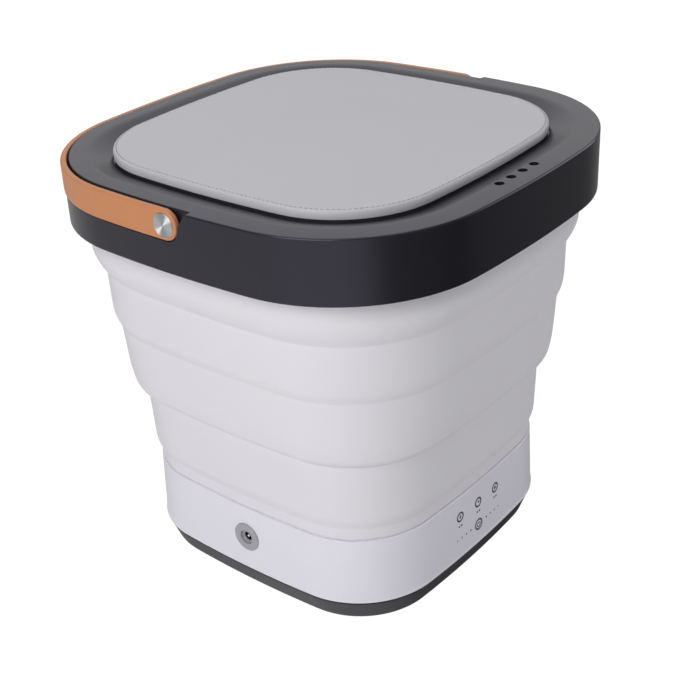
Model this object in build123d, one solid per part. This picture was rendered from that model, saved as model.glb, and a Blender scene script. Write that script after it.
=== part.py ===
from build123d import *
import os
from math import asin, atan2, cos, degrees, pi, radians, sin, sqrt, tan

# A foldable washing machine: a low base with the drive, a pleated soft tub, and a deep rim
# that carries the lid and a swinging handle. Millimetres, +Z up, the floor at z = 0, the
# touch keys on the -Y side and the power inlet on the -X side.

# Outline shared by every ring of the machine: four long side arcs and four corner arcs
SIDE_RADIUS = 947.0
CORNER_RADIUS = 106.0

# General moulded walls and fits
WALL = 2.5
FIT = 0.3
RUNNING_FIT = 0.05
SEAM = 0.2

# Feet and base pan
FOOT_PROUD = 2.0
FOOT_SUNK = 1.2
FOOT_RADIUS = 9.0
FOOT_INSET = 27.0
PAN_HEIGHT = 18.0
PAN_BOTTOM_INSET = 7.5
PAN_BEVEL = 2.0
PAN_BEVEL_OUT = 1.4
PAN_BOSS_RADIUS = 5.0
PAN_TONGUE_HEIGHT = 4.0

# Base housing
BASE_HALF_WIDTH = 124.0
BASE_TAPER = 1.7
HOUSING_HEIGHT = 52.0
TUB_OPENING_INSET = 22.3
POST_INSET = 14.3
POST_RADIUS = 4.5
BASE_SCREW_RADIUS = 1.75
BASE_SCREW_HEAD_RADIUS = 3.6
BASE_SCREW_HEAD = 2.4
BASE_SCREW_GRIP = 14.0
BASE_SCREW_RECESS = 6.0

# Soft tub: collar, then pleats from the bottom up, each a step out, a lip and a wall
SOFT_WALL = 2.2
COLLAR_INSET = 0.7
COLLAR_HEIGHT = 10.0
# step rise, step out, lip rise, lip out, wall rise, wall out
PLEATS = (
    (8.0, 3.4, 4.0, 0.4, 42.0, 1.5),
    (6.0, 7.7, 13.0, 2.6, 37.0, 2.7),
    (7.0, 3.7, 7.0, 0.7, 30.0, 0.7),
    (7.0, 5.0, 11.0, 3.8, 13.0, -4.5),
)
TOP_COLLAR_HEIGHT = 17.0
LOWER_FLANGE_WIDTH = 13.0
UPPER_FLANGE_WIDTH = 11.3

# Tub floor
TUB_FLOOR_PLATE = 3.0
TUB_FLOOR_DEPTH = 9.7
FLOOR_BOSS_RADIUS = 4.0
FLOOR_BOSS_HEIGHT = 6.0
FLOOR_SCREW_INSET = 10.3
FLOOR_SCREW_OFFSET = 40.0
FLOOR_SCREW_RADIUS = 1.75
FLOOR_SCREW_HEAD_RADIUS = 3.4
FLOOR_SCREW_HEAD = 2.2
HUB_RADIUS = 15.0
HUB_DROP = 26.5
RIB_COUNT = 8
RIB_THICKNESS = 2.0
RIB_DEPTH = 5.0
RIB_LENGTH = 66.0

# Drive shaft, bushes, seal and impeller
SHAFT_RADIUS = 4.0
BUSH_WALL = 2.0
BUSH_LENGTH = 10.0
SEAL_RADIUS = 9.0
SEAL_HEIGHT = 4.5
SEAL_WALL = 1.6
CLIP_RADIUS = 7.0
CLIP_THICKNESS = 1.0
CLIP_GAP = 0.4
IMPELLER_RADIUS = 56.0
IMPELLER_GAP = 1.5
IMPELLER_EDGE = 4.0
IMPELLER_DOME_RADIUS = 19.0
IMPELLER_HEIGHT = 21.0
IMPELLER_VANES = 4
VANE_WIDTH = 9.0
VANE_EDGE_HEIGHT = 9.0
IMPELLER_SOCKET = 15.0
IMPELLER_CAP = 1.5
IMPELLER_SKIRT = 3.0
IMPELLER_SCREW_RADIUS = 2.5
IMPELLER_SCREW_HEAD_RADIUS = 4.8
IMPELLER_SCREW_HEAD = 3.0
IMPELLER_SCREW_LENGTH = 12.0

# Belt drive and motor
PULLEY_BASE = 5.5
PULLEY_WIDTH = 9.0
PULLEY_FLANGE = 1.0
FLANGE_PROUD = 2.0
DRIVEN_PULLEY_RADIUS = 35.0
DRIVEN_HUB_RADIUS = 9.0
DRIVEN_HUB_HEIGHT = 12.0
PULLEY_RIM = 3.0
WEB_HOLES = 5
WEB_HOLE_RADIUS = 7.0
MOTOR_PULLEY_RADIUS = 10.0
BELT_THICKNESS = 1.5
BELT_WIDTH = 6.0
BELT_GAP = 0.3
PULLEY_NUT_RADIUS = 5.6
PULLEY_NUT_HEIGHT = 4.5
SHAFT_THREAD_RADIUS = 3.0
MOTOR_X = 62.0
MOTOR_RADIUS = 22.0
MOTOR_CAN_HEIGHT = 27.5
MOTOR_CAP_HEIGHT = 5.0
MOTOR_CAP_INSET = 2.0
MOTOR_PLUG_REACH = 3.0
MOTOR_SHAFT_RADIUS = 2.5
MOTOR_SHAFT_SUNK = 6.0
MOTOR_SCREW_OFFSET = 12.5
BRACKET_THICKNESS = 2.0
BRACKET_RISE = 18.0
BRACKET_POST_X = 21.0
BRACKET_POST_Y = 37.0
BRACKET_POST_RADIUS = 4.0
BRACKET_EDGE = 6.0
BRACKET_BORE_RADIUS = 5.5
SMALL_SCREW_RADIUS = 1.5
SMALL_SCREW_HEAD_RADIUS = 2.75
SMALL_SCREW_HEAD = 2.2
SMALL_SCREW_GRIP = 5.0
BRACKET_SCREW_GRIP = 8.0

# Control board behind the touch keys
# Heights are above the pan's top edge
KEY_PITCH = 23.0
KEY_RISE = 35.1
POWER_KEY_RISE = 15.7
LED_COUNT = 4
LED_FIRST = 10.4
LED_PITCH = 5.6
LED_RADIUS = 1.5
LED_LENGTH = 5.0
BOARD_WIDTH = 100.0
BOARD_THICKNESS = 1.6
BOARD_BELOW_KEYS = 5.5
BOARD_ABOVE_KEYS = 8.0
BOARD_STANDOFF = 8.5
BOARD_BOSS_RADIUS = 3.5
BOARD_BOSS_INSET = 5.0
BOARD_SCREW_RADIUS = 1.25
BOARD_SCREW_HEAD_RADIUS = 2.3
BOARD_SCREW_HEAD = 1.8
SPRING_RADIUS = 4.0
SPRING_WALL = 0.8
PLUG_WIDTH = 10.0
PLUG_DEPTH = 8.0
PLUG_HEIGHT = 6.0
PLUG_X = 30.0
PLUG_DROP = 6.0
BUZZER_RADIUS = 6.0
BUZZER_HEIGHT = 7.0
# across, up from the board's middle, width, height, depth
BOARD_CHIPS = (
    (0.0, 2.0, 12.0, 12.0, 1.6),
    (0.0, -12.0, 9.0, 6.0, 4.5),
    (PLUG_X, 9.0, 8.0, 6.0, 3.0),
)

# Power inlet on the -X side
JACK_RISE = 26.7
JACK_FORWARD = 3.2
JACK_BEZEL_RADIUS = 11.25
JACK_BEZEL_PROUD = 0.9
JACK_BEZEL_SUNK = 1.0
JACK_NECK_RADIUS = 7.0
JACK_LENGTH = 17.0
JACK_NECK_LENGTH = 13.0
JACK_PIN_SET_BACK = 1.5
JACK_PIN_ROOT = 3.0
JACK_BORE_RADIUS = 4.5
JACK_BORE_DEPTH = 9.5
JACK_PIN_RADIUS = 1.2
JACK_SOCKET_RADIUS = 5.6
JACK_NUT_RADIUS = 10.0
JACK_NUT_THICKNESS = 3.0

# Leads inside the base: the points that each passes, from the inlet's back and the motor's plug
LEAD_RADIUS = 1.75
LEAD_OUT = 12.0
JACK_LEAD_BENDS = (
    (16.0, 0.0, 0.0),
    (28.0, -12.0, -1.5),
    (36.0, -37.0, -3.0),
    (49.0, -63.0, -4.0),
    (71.0, -79.0, -5.5),
)
MOTOR_LEAD_BENDS = (
    (0.0, -14.0, 0.0),
    (-6.0, -30.0, -3.5),
    (-18.0, -45.0, -8.5),
    (-28.0, -58.0, -13.5),
)

# Rim
SKIRT_GAP = 13.2
SKIRT_DROP = 10.8
RIM_HEIGHT = 43.8
RIM_EDGE = 1.2
RIM_BORDER = 15.0
RIM_DISH_DEPTH = 4.0
LID_LEDGE_DEPTH = 6.0
MOUTH_INSET = 47.0
UNDER_RING_THICKNESS = 3.0
RIM_SCREW_INSET = 7.8
RIM_SCREW_OFFSET = 48.0
RIM_SCREW_LENGTH = 15.0
RIM_BOSS_RADIUS = 4.0
VENT_HOLES = 4
VENT_PITCH = 13.7
VENT_RADIUS = 3.3
VENT_INSET = 15.3

# Handle and its pivots
HANDLE_HEIGHT = 20.8
HANDLE_THICKNESS = 4.4
HANDLE_PROUD = 1.0
HANDLE_DROP = 0.2
HANDLE_GAP = 0.6
RECESS_END = 24.0
RECESS_ROUND = 2.0
PIVOT_HEAD_RADIUS = 8.25
PIVOT_HEAD_PROUD = 0.8
PIVOT_HEAD_SUNK = 1.6
PIVOT_SHOULDER_RADIUS = 3.0
PIVOT_THREAD_RADIUS = 2.0
PIVOT_THREAD_LENGTH = 9.0
PIVOT_WASHER_RADIUS = 6.0
PIVOT_WASHER = 1.2
PIVOT_NUT_RADIUS = 4.6
PIVOT_NUT = 4.0

# Lid
LID_HALF_WIDTH_INSET = 35.0
LID_RECESS_GAP = 1.5
LID_PLATE_INSET = 0.8
LID_PLATE = 2.3
PAD_THICKNESS = 7.0
COVER_WALL = 2.0
COVER_EDGE = 2.0
PLUG_RING_GAP = 2.5
PLUG_RING_DEPTH = 8.0
PLUG_RING_WALL = 2.2
LID_SEAL_HEIGHT = 4.0
LID_SEAL_DROP = 2.0

# Heights above the floor and half-widths that the sizes above give
pan_bottom = FOOT_PROUD
pan_floor = pan_bottom + WALL
pan_top = pan_bottom + PAN_HEIGHT
base_top = pan_top + HOUSING_HEIGHT
shelf_bottom = base_top - WALL
base_top_half = BASE_HALF_WIDTH - BASE_TAPER
base_inner = BASE_HALF_WIDTH - BASE_TAPER - WALL

tub_opening = base_top_half - TUB_OPENING_INSET
collar_half = base_top_half - COLLAR_INSET
pleat_rise = sum(p[0] + p[2] + p[4] for p in PLEATS)
pleat_out = sum(p[1] + p[3] + p[5] for p in PLEATS)
bellows_top = base_top + COLLAR_HEIGHT + pleat_rise + TOP_COLLAR_HEIGHT
bellows_top_half = collar_half + pleat_out

flange_top = base_top + SOFT_WALL
tub_flange_top = flange_top + TUB_FLOOR_PLATE
tub_floor_bottom = flange_top - TUB_FLOOR_DEPTH
tub_floor_top = tub_floor_bottom + TUB_FLOOR_PLATE
tub_well = tub_opening - 2 * FIT
hub_bottom = tub_floor_bottom - HUB_DROP

pulley_bottom = pan_floor + PULLEY_BASE
pulley_top = pulley_bottom + PULLEY_WIDTH
belt_middle = pulley_bottom + PULLEY_WIDTH / 2
bracket_bottom = pan_floor + BRACKET_RISE
motor_bottom = bracket_bottom + BRACKET_THICKNESS
motor_cap_bottom = motor_bottom + MOTOR_CAN_HEIGHT
key_z = pan_top + KEY_RISE
power_key_z = pan_top + POWER_KEY_RISE
board_bottom = power_key_z - BOARD_BELOW_KEYS
board_top = key_z + BOARD_ABOVE_KEYS
board_mid = (board_bottom + board_top) / 2
plug_z = board_mid - PLUG_DROP
jack_z = pan_top + JACK_RISE
impeller_bottom = tub_floor_top + IMPELLER_GAP
impeller_top = impeller_bottom + IMPELLER_HEIGHT
shaft_top = impeller_bottom + IMPELLER_SOCKET - SEAM
impeller_screw_seat = impeller_bottom + IMPELLER_SOCKET + IMPELLER_CAP

rim_half = bellows_top_half + SKIRT_GAP + WALL
skirt_bottom = bellows_top - SKIRT_DROP
rim_top = skirt_bottom + RIM_HEIGHT
rim_inner = rim_half - WALL
mouth_half = rim_half - MOUTH_INSET
upper_flange_bottom = bellows_top - SOFT_WALL
ring_bottom = upper_flange_bottom - UNDER_RING_THICKNESS
ledge = rim_top - LID_LEDGE_DEPTH
lid_half = rim_half - LID_HALF_WIDTH_INSET
recess_half = lid_half + LID_RECESS_GAP
border_half = rim_half - RIM_BORDER

handle_outer = rim_half + HANDLE_PROUD
handle_inner = handle_outer - HANDLE_THICKNESS
handle_top = rim_top - HANDLE_DROP
handle_bottom = handle_top - HANDLE_HEIGHT
pivot_z = (handle_top + handle_bottom) / 2
recess_face = handle_inner - HANDLE_GAP
recess_bottom = handle_bottom - HANDLE_GAP
liner_inner = recess_face - WALL
washer_face = liner_inner - RUNNING_FIT

pad_bottom = ledge + LID_PLATE
pad_top = pad_bottom + PAD_THICKNESS


def corner_centre():
    """Both coordinates of a corner arc's centre, the same for every ring."""
    side_centre = SIDE_RADIUS - rim_half
    centre_gap = SIDE_RADIUS - CORNER_RADIUS
    return (sqrt(2 * centre_gap**2 - side_centre**2) - side_centre) / 2


def radii(half):
    """Side and corner radius of the ring whose half-width is half."""
    shrink = rim_half - half
    return SIDE_RADIUS - shrink, CORNER_RADIUS - shrink


def outline(half, z):
    """Closed outline of a ring at height z, as a face."""
    side_r, corner_r = radii(half)
    side_c = side_r - half
    c = corner_centre()
    turn = degrees(atan2(c, side_c + c))
    edges = []
    for quarter in range(4):
        about = Rot(0, 0, 90 * quarter)
        side = CenterArc((-side_c, 0, 0), side_r, -turn, 2 * turn)
        corner = CenterArc((c, c, 0), corner_r, turn, 90 - 2 * turn)
        edges += [about * side, about * corner]
    return Pos(0, 0, z) * make_face(edges)


def block(half, low, high):
    """Solid with the machine's outline and upright sides."""
    return extrude(outline(half, low), high - low)


def tapered(*rings):
    """Solid through rings given as (half-width, height), with flat bands between them."""
    return loft([outline(half, z) for half, z in rings], ruled=True)


def band(outer, inner, low, high):
    """Upright ring between two half-widths."""
    return block(outer, low, high) - block(inner, low - 1, high + 1)


def side_point(half, offset, quarter=0):
    """Point on a side arc, offset along it from the middle of that side."""
    side_r, corner_r = radii(half)
    x = sqrt(side_r**2 - offset**2) - (side_r - half)
    return Vector(x, offset).rotate(Axis.Z, 90 * quarter)


def corner_point(half, quarter=0):
    """Middle point of a corner arc."""
    reach = corner_centre() + radii(half)[1] * cos(pi / 4)
    return Vector(reach, reach).rotate(Axis.Z, 90 * quarter)


def rod(radius, low, high, at=(0, 0)):
    """Upright cylinder."""
    return Pos(at[0], at[1], low) * extrude(Circle(radius), high - low)


def tube(radius, bore, low, high, at=(0, 0)):
    """Upright pipe."""
    return rod(radius, low, high, at) - rod(bore, low - 1, high + 1, at)


def hexagon(radius, low, high, at=(0, 0)):
    """Upright hexagonal bar across its corners."""
    return Pos(at[0], at[1], low) * extrude(RegularPolygon(radius, 6), high - low)


def screw(shank, head_radius, head, length, at, head_z, up=True):
    """Upright screw whose head sits against height head_z, with a cross slot."""
    way = 1 if up else -1
    low, high = sorted((head_z - way * head, head_z))
    body = rod(head_radius, low, high, at)
    low, high = sorted((head_z, head_z + way * length))
    body += rod(shank, low, high, at)
    slot_z = head_z - way * head
    slot = Box(head_radius * 1.2, head_radius / 4, head) + Box(head_radius / 4, head_radius * 1.2, head)
    return body - Pos(at[0], at[1], slot_z) * slot


def fused(shapes):
    """One shape from several that touch."""
    whole = shapes[0]
    for shape in shapes[1:]:
        whole += shape
    return whole


def along_x(shape, at):
    """Turns an upright shape so that it points along +X from a point."""
    return Pos(*at) * Rot(0, 90, 0) * shape


def along_y(shape, at):
    """Turns an upright shape so that it points along +Y from a point."""
    return Pos(*at) * Rot(-90, 0, 0) * shape


def lead(points, radius):
    """Round lead along straight runs joined by the largest arcs they allow."""
    corners = [Vector(*p) for p in points]
    bends = []
    for before, here, after in zip(corners, corners[1:], corners[2:]):
        turn = radians((here - before).get_angle(after - here))
        shorter = min((here - before).length, (after - here).length)
        bends.append(0.45 * shorter / tan(turn / 2))
    path = FilletPolyline(*corners, radius=bends)
    print("lead bends", [round(b, 1) for b in bends], "length", round(path.length, 1))
    start = Plane(origin=path @ 0, z_dir=path % 0)
    return sweep(start * Circle(radius), path=path)


post_spots = [corner_point(base_top_half - POST_INSET, k) for k in range(4)]
foot_spots = [corner_point(base_top_half - FOOT_INSET, k) for k in range(4)]
floor_screw_spots = [
    side_point(base_top_half - FLOOR_SCREW_INSET, side * FLOOR_SCREW_OFFSET, k)
    for k in range(4)
    for side in (-1, 1)
]
rim_screw_spots = [
    side_point(bellows_top_half - RIM_SCREW_INSET, side * RIM_SCREW_OFFSET, k)
    for k in range(4)
    for side in (-1, 1)
] + [corner_point(bellows_top_half - RIM_SCREW_INSET, k) for k in range(4)]
bracket_spots = [
    Vector(MOTOR_X + i * BRACKET_POST_X, j * BRACKET_POST_Y) for i in (-1, 1) for j in (-1, 1)
]


def base_half_at(z):
    """Outer half-width of the base housing at a height."""
    return BASE_HALF_WIDTH - BASE_TAPER * (z - pan_top) / HOUSING_HEIGHT


def spot(v):
    return (v.X, v.Y)


# Base


def make_feet():
    """Four rubber pads glued into shallow recesses under the pan."""
    return Compound([rod(FOOT_RADIUS, 0, FOOT_PROUD + FOOT_SUNK, spot(p)) for p in foot_spots])


def make_base_pan():
    """Dark tray that closes the base from below and carries the motor bracket."""
    low_half = BASE_HALF_WIDTH - PAN_BOTTOM_INSET
    pan = tapered(
        (low_half, pan_bottom),
        (low_half + PAN_BEVEL_OUT, pan_bottom + PAN_BEVEL),
        (BASE_HALF_WIDTH, pan_top),
    )
    pan -= tapered(
        (low_half + PAN_BEVEL_OUT - WALL, pan_floor),
        (BASE_HALF_WIDTH - 2 * WALL, pan_top + SEAM),
    )
    tongue_half = BASE_HALF_WIDTH - BASE_TAPER / 2 - WALL
    pan += band(tongue_half, BASE_HALF_WIDTH - 2 * WALL, pan_top - SEAM, pan_top + PAN_TONGUE_HEIGHT)
    pan += fused([rod(PAN_BOSS_RADIUS, pan_bottom + 1, pan_top - SEAM, spot(p)) for p in post_spots])
    pan += fused([rod(BRACKET_POST_RADIUS, pan_floor - 1, bracket_bottom, spot(p)) for p in bracket_spots])
    for p in post_spots:
        pan -= rod(BASE_SCREW_RADIUS + FIT, pan_bottom - 1, pan_top + 1, spot(p))
        pan -= rod(BASE_SCREW_HEAD_RADIUS + FIT, pan_bottom - 1, pan_bottom + BASE_SCREW_RECESS, spot(p))
    for p in foot_spots:
        pan -= rod(FOOT_RADIUS + FIT, pan_bottom - 1, pan_bottom + FOOT_SUNK, spot(p))
    for p in bracket_spots:
        hole_bottom = bracket_bottom - BRACKET_SCREW_GRIP - 1
        pan -= rod(SMALL_SCREW_RADIUS + RUNNING_FIT, hole_bottom, bracket_bottom + 1, spot(p))
    return pan


def board_boss_spots():
    x = BOARD_WIDTH / 2 - BOARD_BOSS_INSET
    low = board_bottom + BOARD_BOSS_INSET
    high = board_top - BOARD_BOSS_INSET
    return [(side * x, z) for side in (-1, 1) for z in (low, high)]


board_front = -(base_inner - BOARD_STANDOFF)
board_back = board_front + BOARD_THICKNESS


def make_base_housing():
    """White shell of the base, open below, with a shelf that the tub is clamped to."""
    shell = tapered((BASE_HALF_WIDTH, pan_top), (base_top_half, base_top))
    shell = fillet(shell.faces().sort_by(Axis.Z)[-1].edges(), COLLAR_INSET)
    shell -= tapered(
        (BASE_HALF_WIDTH - WALL + FIT, pan_top - 1),
        (base_inner, shelf_bottom),
    )
    shell -= block(tub_opening, shelf_bottom - 1, base_top + 1)
    shell += fused([rod(POST_RADIUS, pan_top, shelf_bottom + 1, spot(p)) for p in post_spots])
    for p in post_spots:
        shell -= rod(BASE_SCREW_RADIUS + RUNNING_FIT, pan_top - 1, pan_top + BASE_SCREW_GRIP + 1, spot(p))
    for p in floor_screw_spots:
        shell -= rod(FLOOR_SCREW_RADIUS + FIT, shelf_bottom - 1, base_top + 1, spot(p))
    for x, z in board_boss_spots():
        wall_y = -(base_half_at(z) - WALL / 2) + x**2 / (2 * SIDE_RADIUS)
        boss = extrude(Circle(BOARD_BOSS_RADIUS), board_front - wall_y)
        hole = extrude(Circle(BOARD_SCREW_RADIUS + RUNNING_FIT), SMALL_SCREW_GRIP + 1)
        shell += along_y(boss, (x, wall_y, z))
        shell -= along_y(hole, (x, board_front - SMALL_SCREW_GRIP, z))
    face_x = -base_half_at(jack_z)
    pocket = extrude(Circle(JACK_BEZEL_RADIUS + SEAM), 10)
    shell -= along_x(pocket, (face_x - 10 + JACK_BEZEL_SUNK, -JACK_FORWARD, jack_z))
    hole = extrude(Circle(JACK_NECK_RADIUS + FIT), 20)
    shell -= along_x(hole, (face_x - 5, -JACK_FORWARD, jack_z))
    return shell


def make_base_screws():
    seat = pan_bottom + BASE_SCREW_RECESS
    length = pan_top + BASE_SCREW_GRIP - seat
    size = (BASE_SCREW_RADIUS, BASE_SCREW_HEAD_RADIUS, BASE_SCREW_HEAD)
    return Compound([screw(*size, length, spot(p), seat) for p in post_spots])


# Tub


def bellows_rings():
    """Half-widths and heights of the soft wall, from the base up."""
    half = collar_half
    z = base_top
    rings = [(half, z), (half, z + COLLAR_HEIGHT)]
    z += COLLAR_HEIGHT
    for pleat in PLEATS:
        for rise, out in (pleat[0:2], pleat[2:4], pleat[4:6]):
            z += rise
            half += out
            rings.append((half, z))
    return rings + [(half, bellows_top)]


def make_bellows():
    """Soft pleated tub wall, moulded in one piece with a flange at each end."""
    rings = bellows_rings()
    wall = tapered(*rings)
    inner = [(half - SOFT_WALL, z) for half, z in rings]
    wall -= tapered(*inner)
    wall += band(collar_half - SOFT_WALL / 2, collar_half - LOWER_FLANGE_WIDTH, base_top, flange_top)
    wall += band(
        bellows_top_half - SOFT_WALL / 2,
        bellows_top_half - UPPER_FLANGE_WIDTH,
        upper_flange_bottom,
        bellows_top,
    )
    for p in floor_screw_spots:
        wall -= rod(FLOOR_SCREW_RADIUS + FIT, base_top - 1, flange_top + 1, spot(p))
    for p in rim_screw_spots:
        wall -= rod(BASE_SCREW_RADIUS + FIT, upper_flange_bottom - 1, bellows_top + 1, spot(p))
    return wall


def make_tub_floor():
    """Hard tub bottom: a flange that clamps the soft wall, a shallow well and the shaft hub."""
    floor = block(collar_half - SOFT_WALL - FIT, flange_top, tub_flange_top)
    floor += block(tub_well, tub_floor_bottom, flange_top + 1)
    floor -= block(tub_well - WALL, tub_floor_top, tub_flange_top + 1)
    for p in floor_screw_spots:
        floor += rod(FLOOR_BOSS_RADIUS, flange_top, tub_flange_top + FLOOR_BOSS_HEIGHT, spot(p))
        blind = tub_flange_top + FLOOR_BOSS_HEIGHT - WALL / 2
        floor -= rod(FLOOR_SCREW_RADIUS + RUNNING_FIT, flange_top - 1, blind, spot(p))
    floor += rod(HUB_RADIUS, hub_bottom, tub_floor_bottom + 1)
    rib = Pos(RIB_LENGTH / 2, 0, tub_floor_bottom) * Box(RIB_LENGTH, RIB_THICKNESS, 2 * RIB_DEPTH)
    rib -= Pos(RIB_LENGTH / 2, 0, tub_floor_top) * Box(RIB_LENGTH, RIB_THICKNESS, 2 * TUB_FLOOR_PLATE - 1)
    for k in range(RIB_COUNT):
        floor += Rot(0, 0, 360 * (k + 0.5) / RIB_COUNT) * rib
    floor -= rod(SHAFT_RADIUS + BUSH_WALL + RUNNING_FIT, hub_bottom - 1, tub_floor_top + 1)
    floor -= rod(SEAL_RADIUS + RUNNING_FIT, tub_floor_top - SEAL_HEIGHT, tub_floor_top + 1)
    return floor


def make_floor_screws():
    length = tub_flange_top + FLOOR_BOSS_HEIGHT - WALL - shelf_bottom
    size = (FLOOR_SCREW_RADIUS, FLOOR_SCREW_HEAD_RADIUS, FLOOR_SCREW_HEAD)
    return Compound([screw(*size, length, spot(p), shelf_bottom) for p in floor_screw_spots])


def make_shaft_bushes():
    """Two plain bronze bushes in the hub."""
    outer = SHAFT_RADIUS + BUSH_WALL
    bore = SHAFT_RADIUS + RUNNING_FIT
    high = tub_floor_top - SEAL_HEIGHT - SEAM
    lower = tube(outer, bore, hub_bottom, hub_bottom + BUSH_LENGTH)
    return Compound([lower, tube(outer, bore, high - BUSH_LENGTH, high)])


def make_shaft_seal():
    """Rubber lip seal that keeps water out of the base."""
    low = tub_floor_top - SEAL_HEIGHT
    seal = tube(SEAL_RADIUS, SHAFT_RADIUS + RUNNING_FIT, low, tub_floor_top)
    return seal - tube(SEAL_RADIUS - SEAL_WALL, SHAFT_RADIUS + SEAL_WALL, low - 1, low + SEAL_HEIGHT / 2)


# Impeller and belt drive


def make_impeller():
    """Domed wash impeller with raised vanes, hollow below."""
    edge = impeller_bottom + IMPELLER_EDGE
    dome = Polyline(
        (0, impeller_bottom),
        (IMPELLER_RADIUS, impeller_bottom),
        (IMPELLER_RADIUS, edge - 1),
        (IMPELLER_RADIUS - 1, edge),
        (IMPELLER_DOME_RADIUS + 6, edge + 5),
        (IMPELLER_DOME_RADIUS, impeller_top - 4),
        (IMPELLER_DOME_RADIUS - 5, impeller_top),
        (0, impeller_top),
        close=True,
    )
    body = revolve(Plane.XZ * make_face(dome), Axis.Z)
    reach = Polyline(
        (0, impeller_bottom + 1),
        (IMPELLER_RADIUS - IMPELLER_SKIRT, impeller_bottom + 1),
        (IMPELLER_RADIUS - IMPELLER_SKIRT, impeller_bottom + VANE_EDGE_HEIGHT),
        (IMPELLER_DOME_RADIUS - 4, impeller_top - 1),
        (0, impeller_top - 1),
        close=True,
    )
    envelope = revolve(Plane.XZ * make_face(reach), Axis.Z)
    length = IMPELLER_RADIUS
    vane = Pos(length / 2, 0, impeller_bottom + 1) * extrude(SlotOverall(length, VANE_WIDTH), IMPELLER_HEIGHT)
    for k in range(IMPELLER_VANES):
        body += (Rot(0, 0, 360 * k / IMPELLER_VANES) * vane) & envelope
    hollow_radius = IMPELLER_RADIUS - IMPELLER_SKIRT
    body -= tube(hollow_radius, HUB_RADIUS, impeller_bottom - 1, impeller_bottom + IMPELLER_EDGE / 2)
    body -= rod(SHAFT_RADIUS + RUNNING_FIT, impeller_bottom - 1, impeller_bottom + IMPELLER_SOCKET)
    body -= rod(IMPELLER_SCREW_RADIUS + RUNNING_FIT, impeller_bottom, impeller_top + 1)
    return body - rod(IMPELLER_SCREW_HEAD_RADIUS + SEAM, impeller_screw_seat, impeller_top + 1)


def make_impeller_screw():
    length = IMPELLER_SCREW_LENGTH
    size = (IMPELLER_SCREW_RADIUS, IMPELLER_SCREW_HEAD_RADIUS, IMPELLER_SCREW_HEAD)
    return screw(*size, length, (0, 0), impeller_screw_seat, up=False)


def make_drive_shaft():
    """Steel shaft from the driven pulley up to the impeller."""
    shaft = rod(SHAFT_RADIUS, pulley_bottom, shaft_top)
    shaft += rod(SHAFT_THREAD_RADIUS, pulley_bottom - PULLEY_NUT_HEIGHT, pulley_bottom + 1)
    hole_bottom = impeller_screw_seat - IMPELLER_SCREW_LENGTH - 1
    return shaft - rod(IMPELLER_SCREW_RADIUS + RUNNING_FIT, hole_bottom, shaft_top + 1)


def make_shaft_clip():
    """Retaining ring on the shaft, just under the hub."""
    high = hub_bottom - CLIP_GAP
    ring = tube(CLIP_RADIUS, SHAFT_RADIUS + RUNNING_FIT, high - CLIP_THICKNESS, high)
    gap = Pos(CLIP_RADIUS, 0, high) * Box(2 * CLIP_RADIUS - SHAFT_RADIUS, SHAFT_RADIUS, 4 * CLIP_THICKNESS)
    return ring - gap


def pulley(radius, bore):
    """Flat-belt pulley with a flange above and below the belt."""
    wheel = rod(radius, pulley_bottom, pulley_top)
    for low in (pulley_bottom, pulley_top - PULLEY_FLANGE):
        wheel += rod(radius + FLANGE_PROUD, low, low + PULLEY_FLANGE)
    return wheel - rod(bore, pulley_bottom - 1, pulley_top + 1)


def make_driven_pulley():
    """Large pulley keyed to the drive shaft, with holes in its web."""
    wheel = pulley(DRIVEN_PULLEY_RADIUS, SHAFT_RADIUS + RUNNING_FIT)
    web_edge = DRIVEN_PULLEY_RADIUS - PULLEY_RIM
    wheel -= tube(web_edge, DRIVEN_HUB_RADIUS, pulley_top - PULLEY_RIM, pulley_top + 1)
    mid = (DRIVEN_HUB_RADIUS + web_edge) / 2
    hole = rod(WEB_HOLE_RADIUS, pulley_bottom - 1, pulley_top + 1, (mid, 0))
    for k in range(WEB_HOLES):
        wheel -= Rot(0, 0, 360 * k / WEB_HOLES) * hole
    hub_top = pulley_bottom + DRIVEN_HUB_HEIGHT
    return wheel + tube(DRIVEN_HUB_RADIUS, SHAFT_RADIUS + RUNNING_FIT, pulley_bottom, hub_top)


def make_pulley_nut():
    low = pulley_bottom - PULLEY_NUT_HEIGHT
    nut = hexagon(PULLEY_NUT_RADIUS, low, pulley_bottom)
    return nut - rod(SHAFT_THREAD_RADIUS + RUNNING_FIT, low - 1, pulley_bottom + 1)


def belt_loop(extra):
    """Loop round both pulleys, a distance outside their belt faces."""
    large = DRIVEN_PULLEY_RADIUS + extra
    small = MOTOR_PULLEY_RADIUS + extra
    lean = asin((large - small) / MOTOR_X)
    up = Vector(sin(lean), cos(lean))
    down = Vector(sin(lean), -cos(lean))
    motor = Vector(MOTOR_X, 0)
    loop = [
        ThreePointArc(up * large, Vector(-large, 0), down * large),
        Line(down * large, motor + down * small),
        ThreePointArc(motor + down * small, motor + Vector(small, 0), motor + up * small),
        Line(motor + up * small, up * large),
    ]
    return make_face(loop)


def make_drive_belt():
    """Flat rubber belt, a little clear of the pulleys that it turns between."""
    face = belt_loop(BELT_GAP + BELT_THICKNESS) - belt_loop(BELT_GAP)
    return Pos(0, 0, belt_middle - BELT_WIDTH / 2) * extrude(face, BELT_WIDTH)


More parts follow.
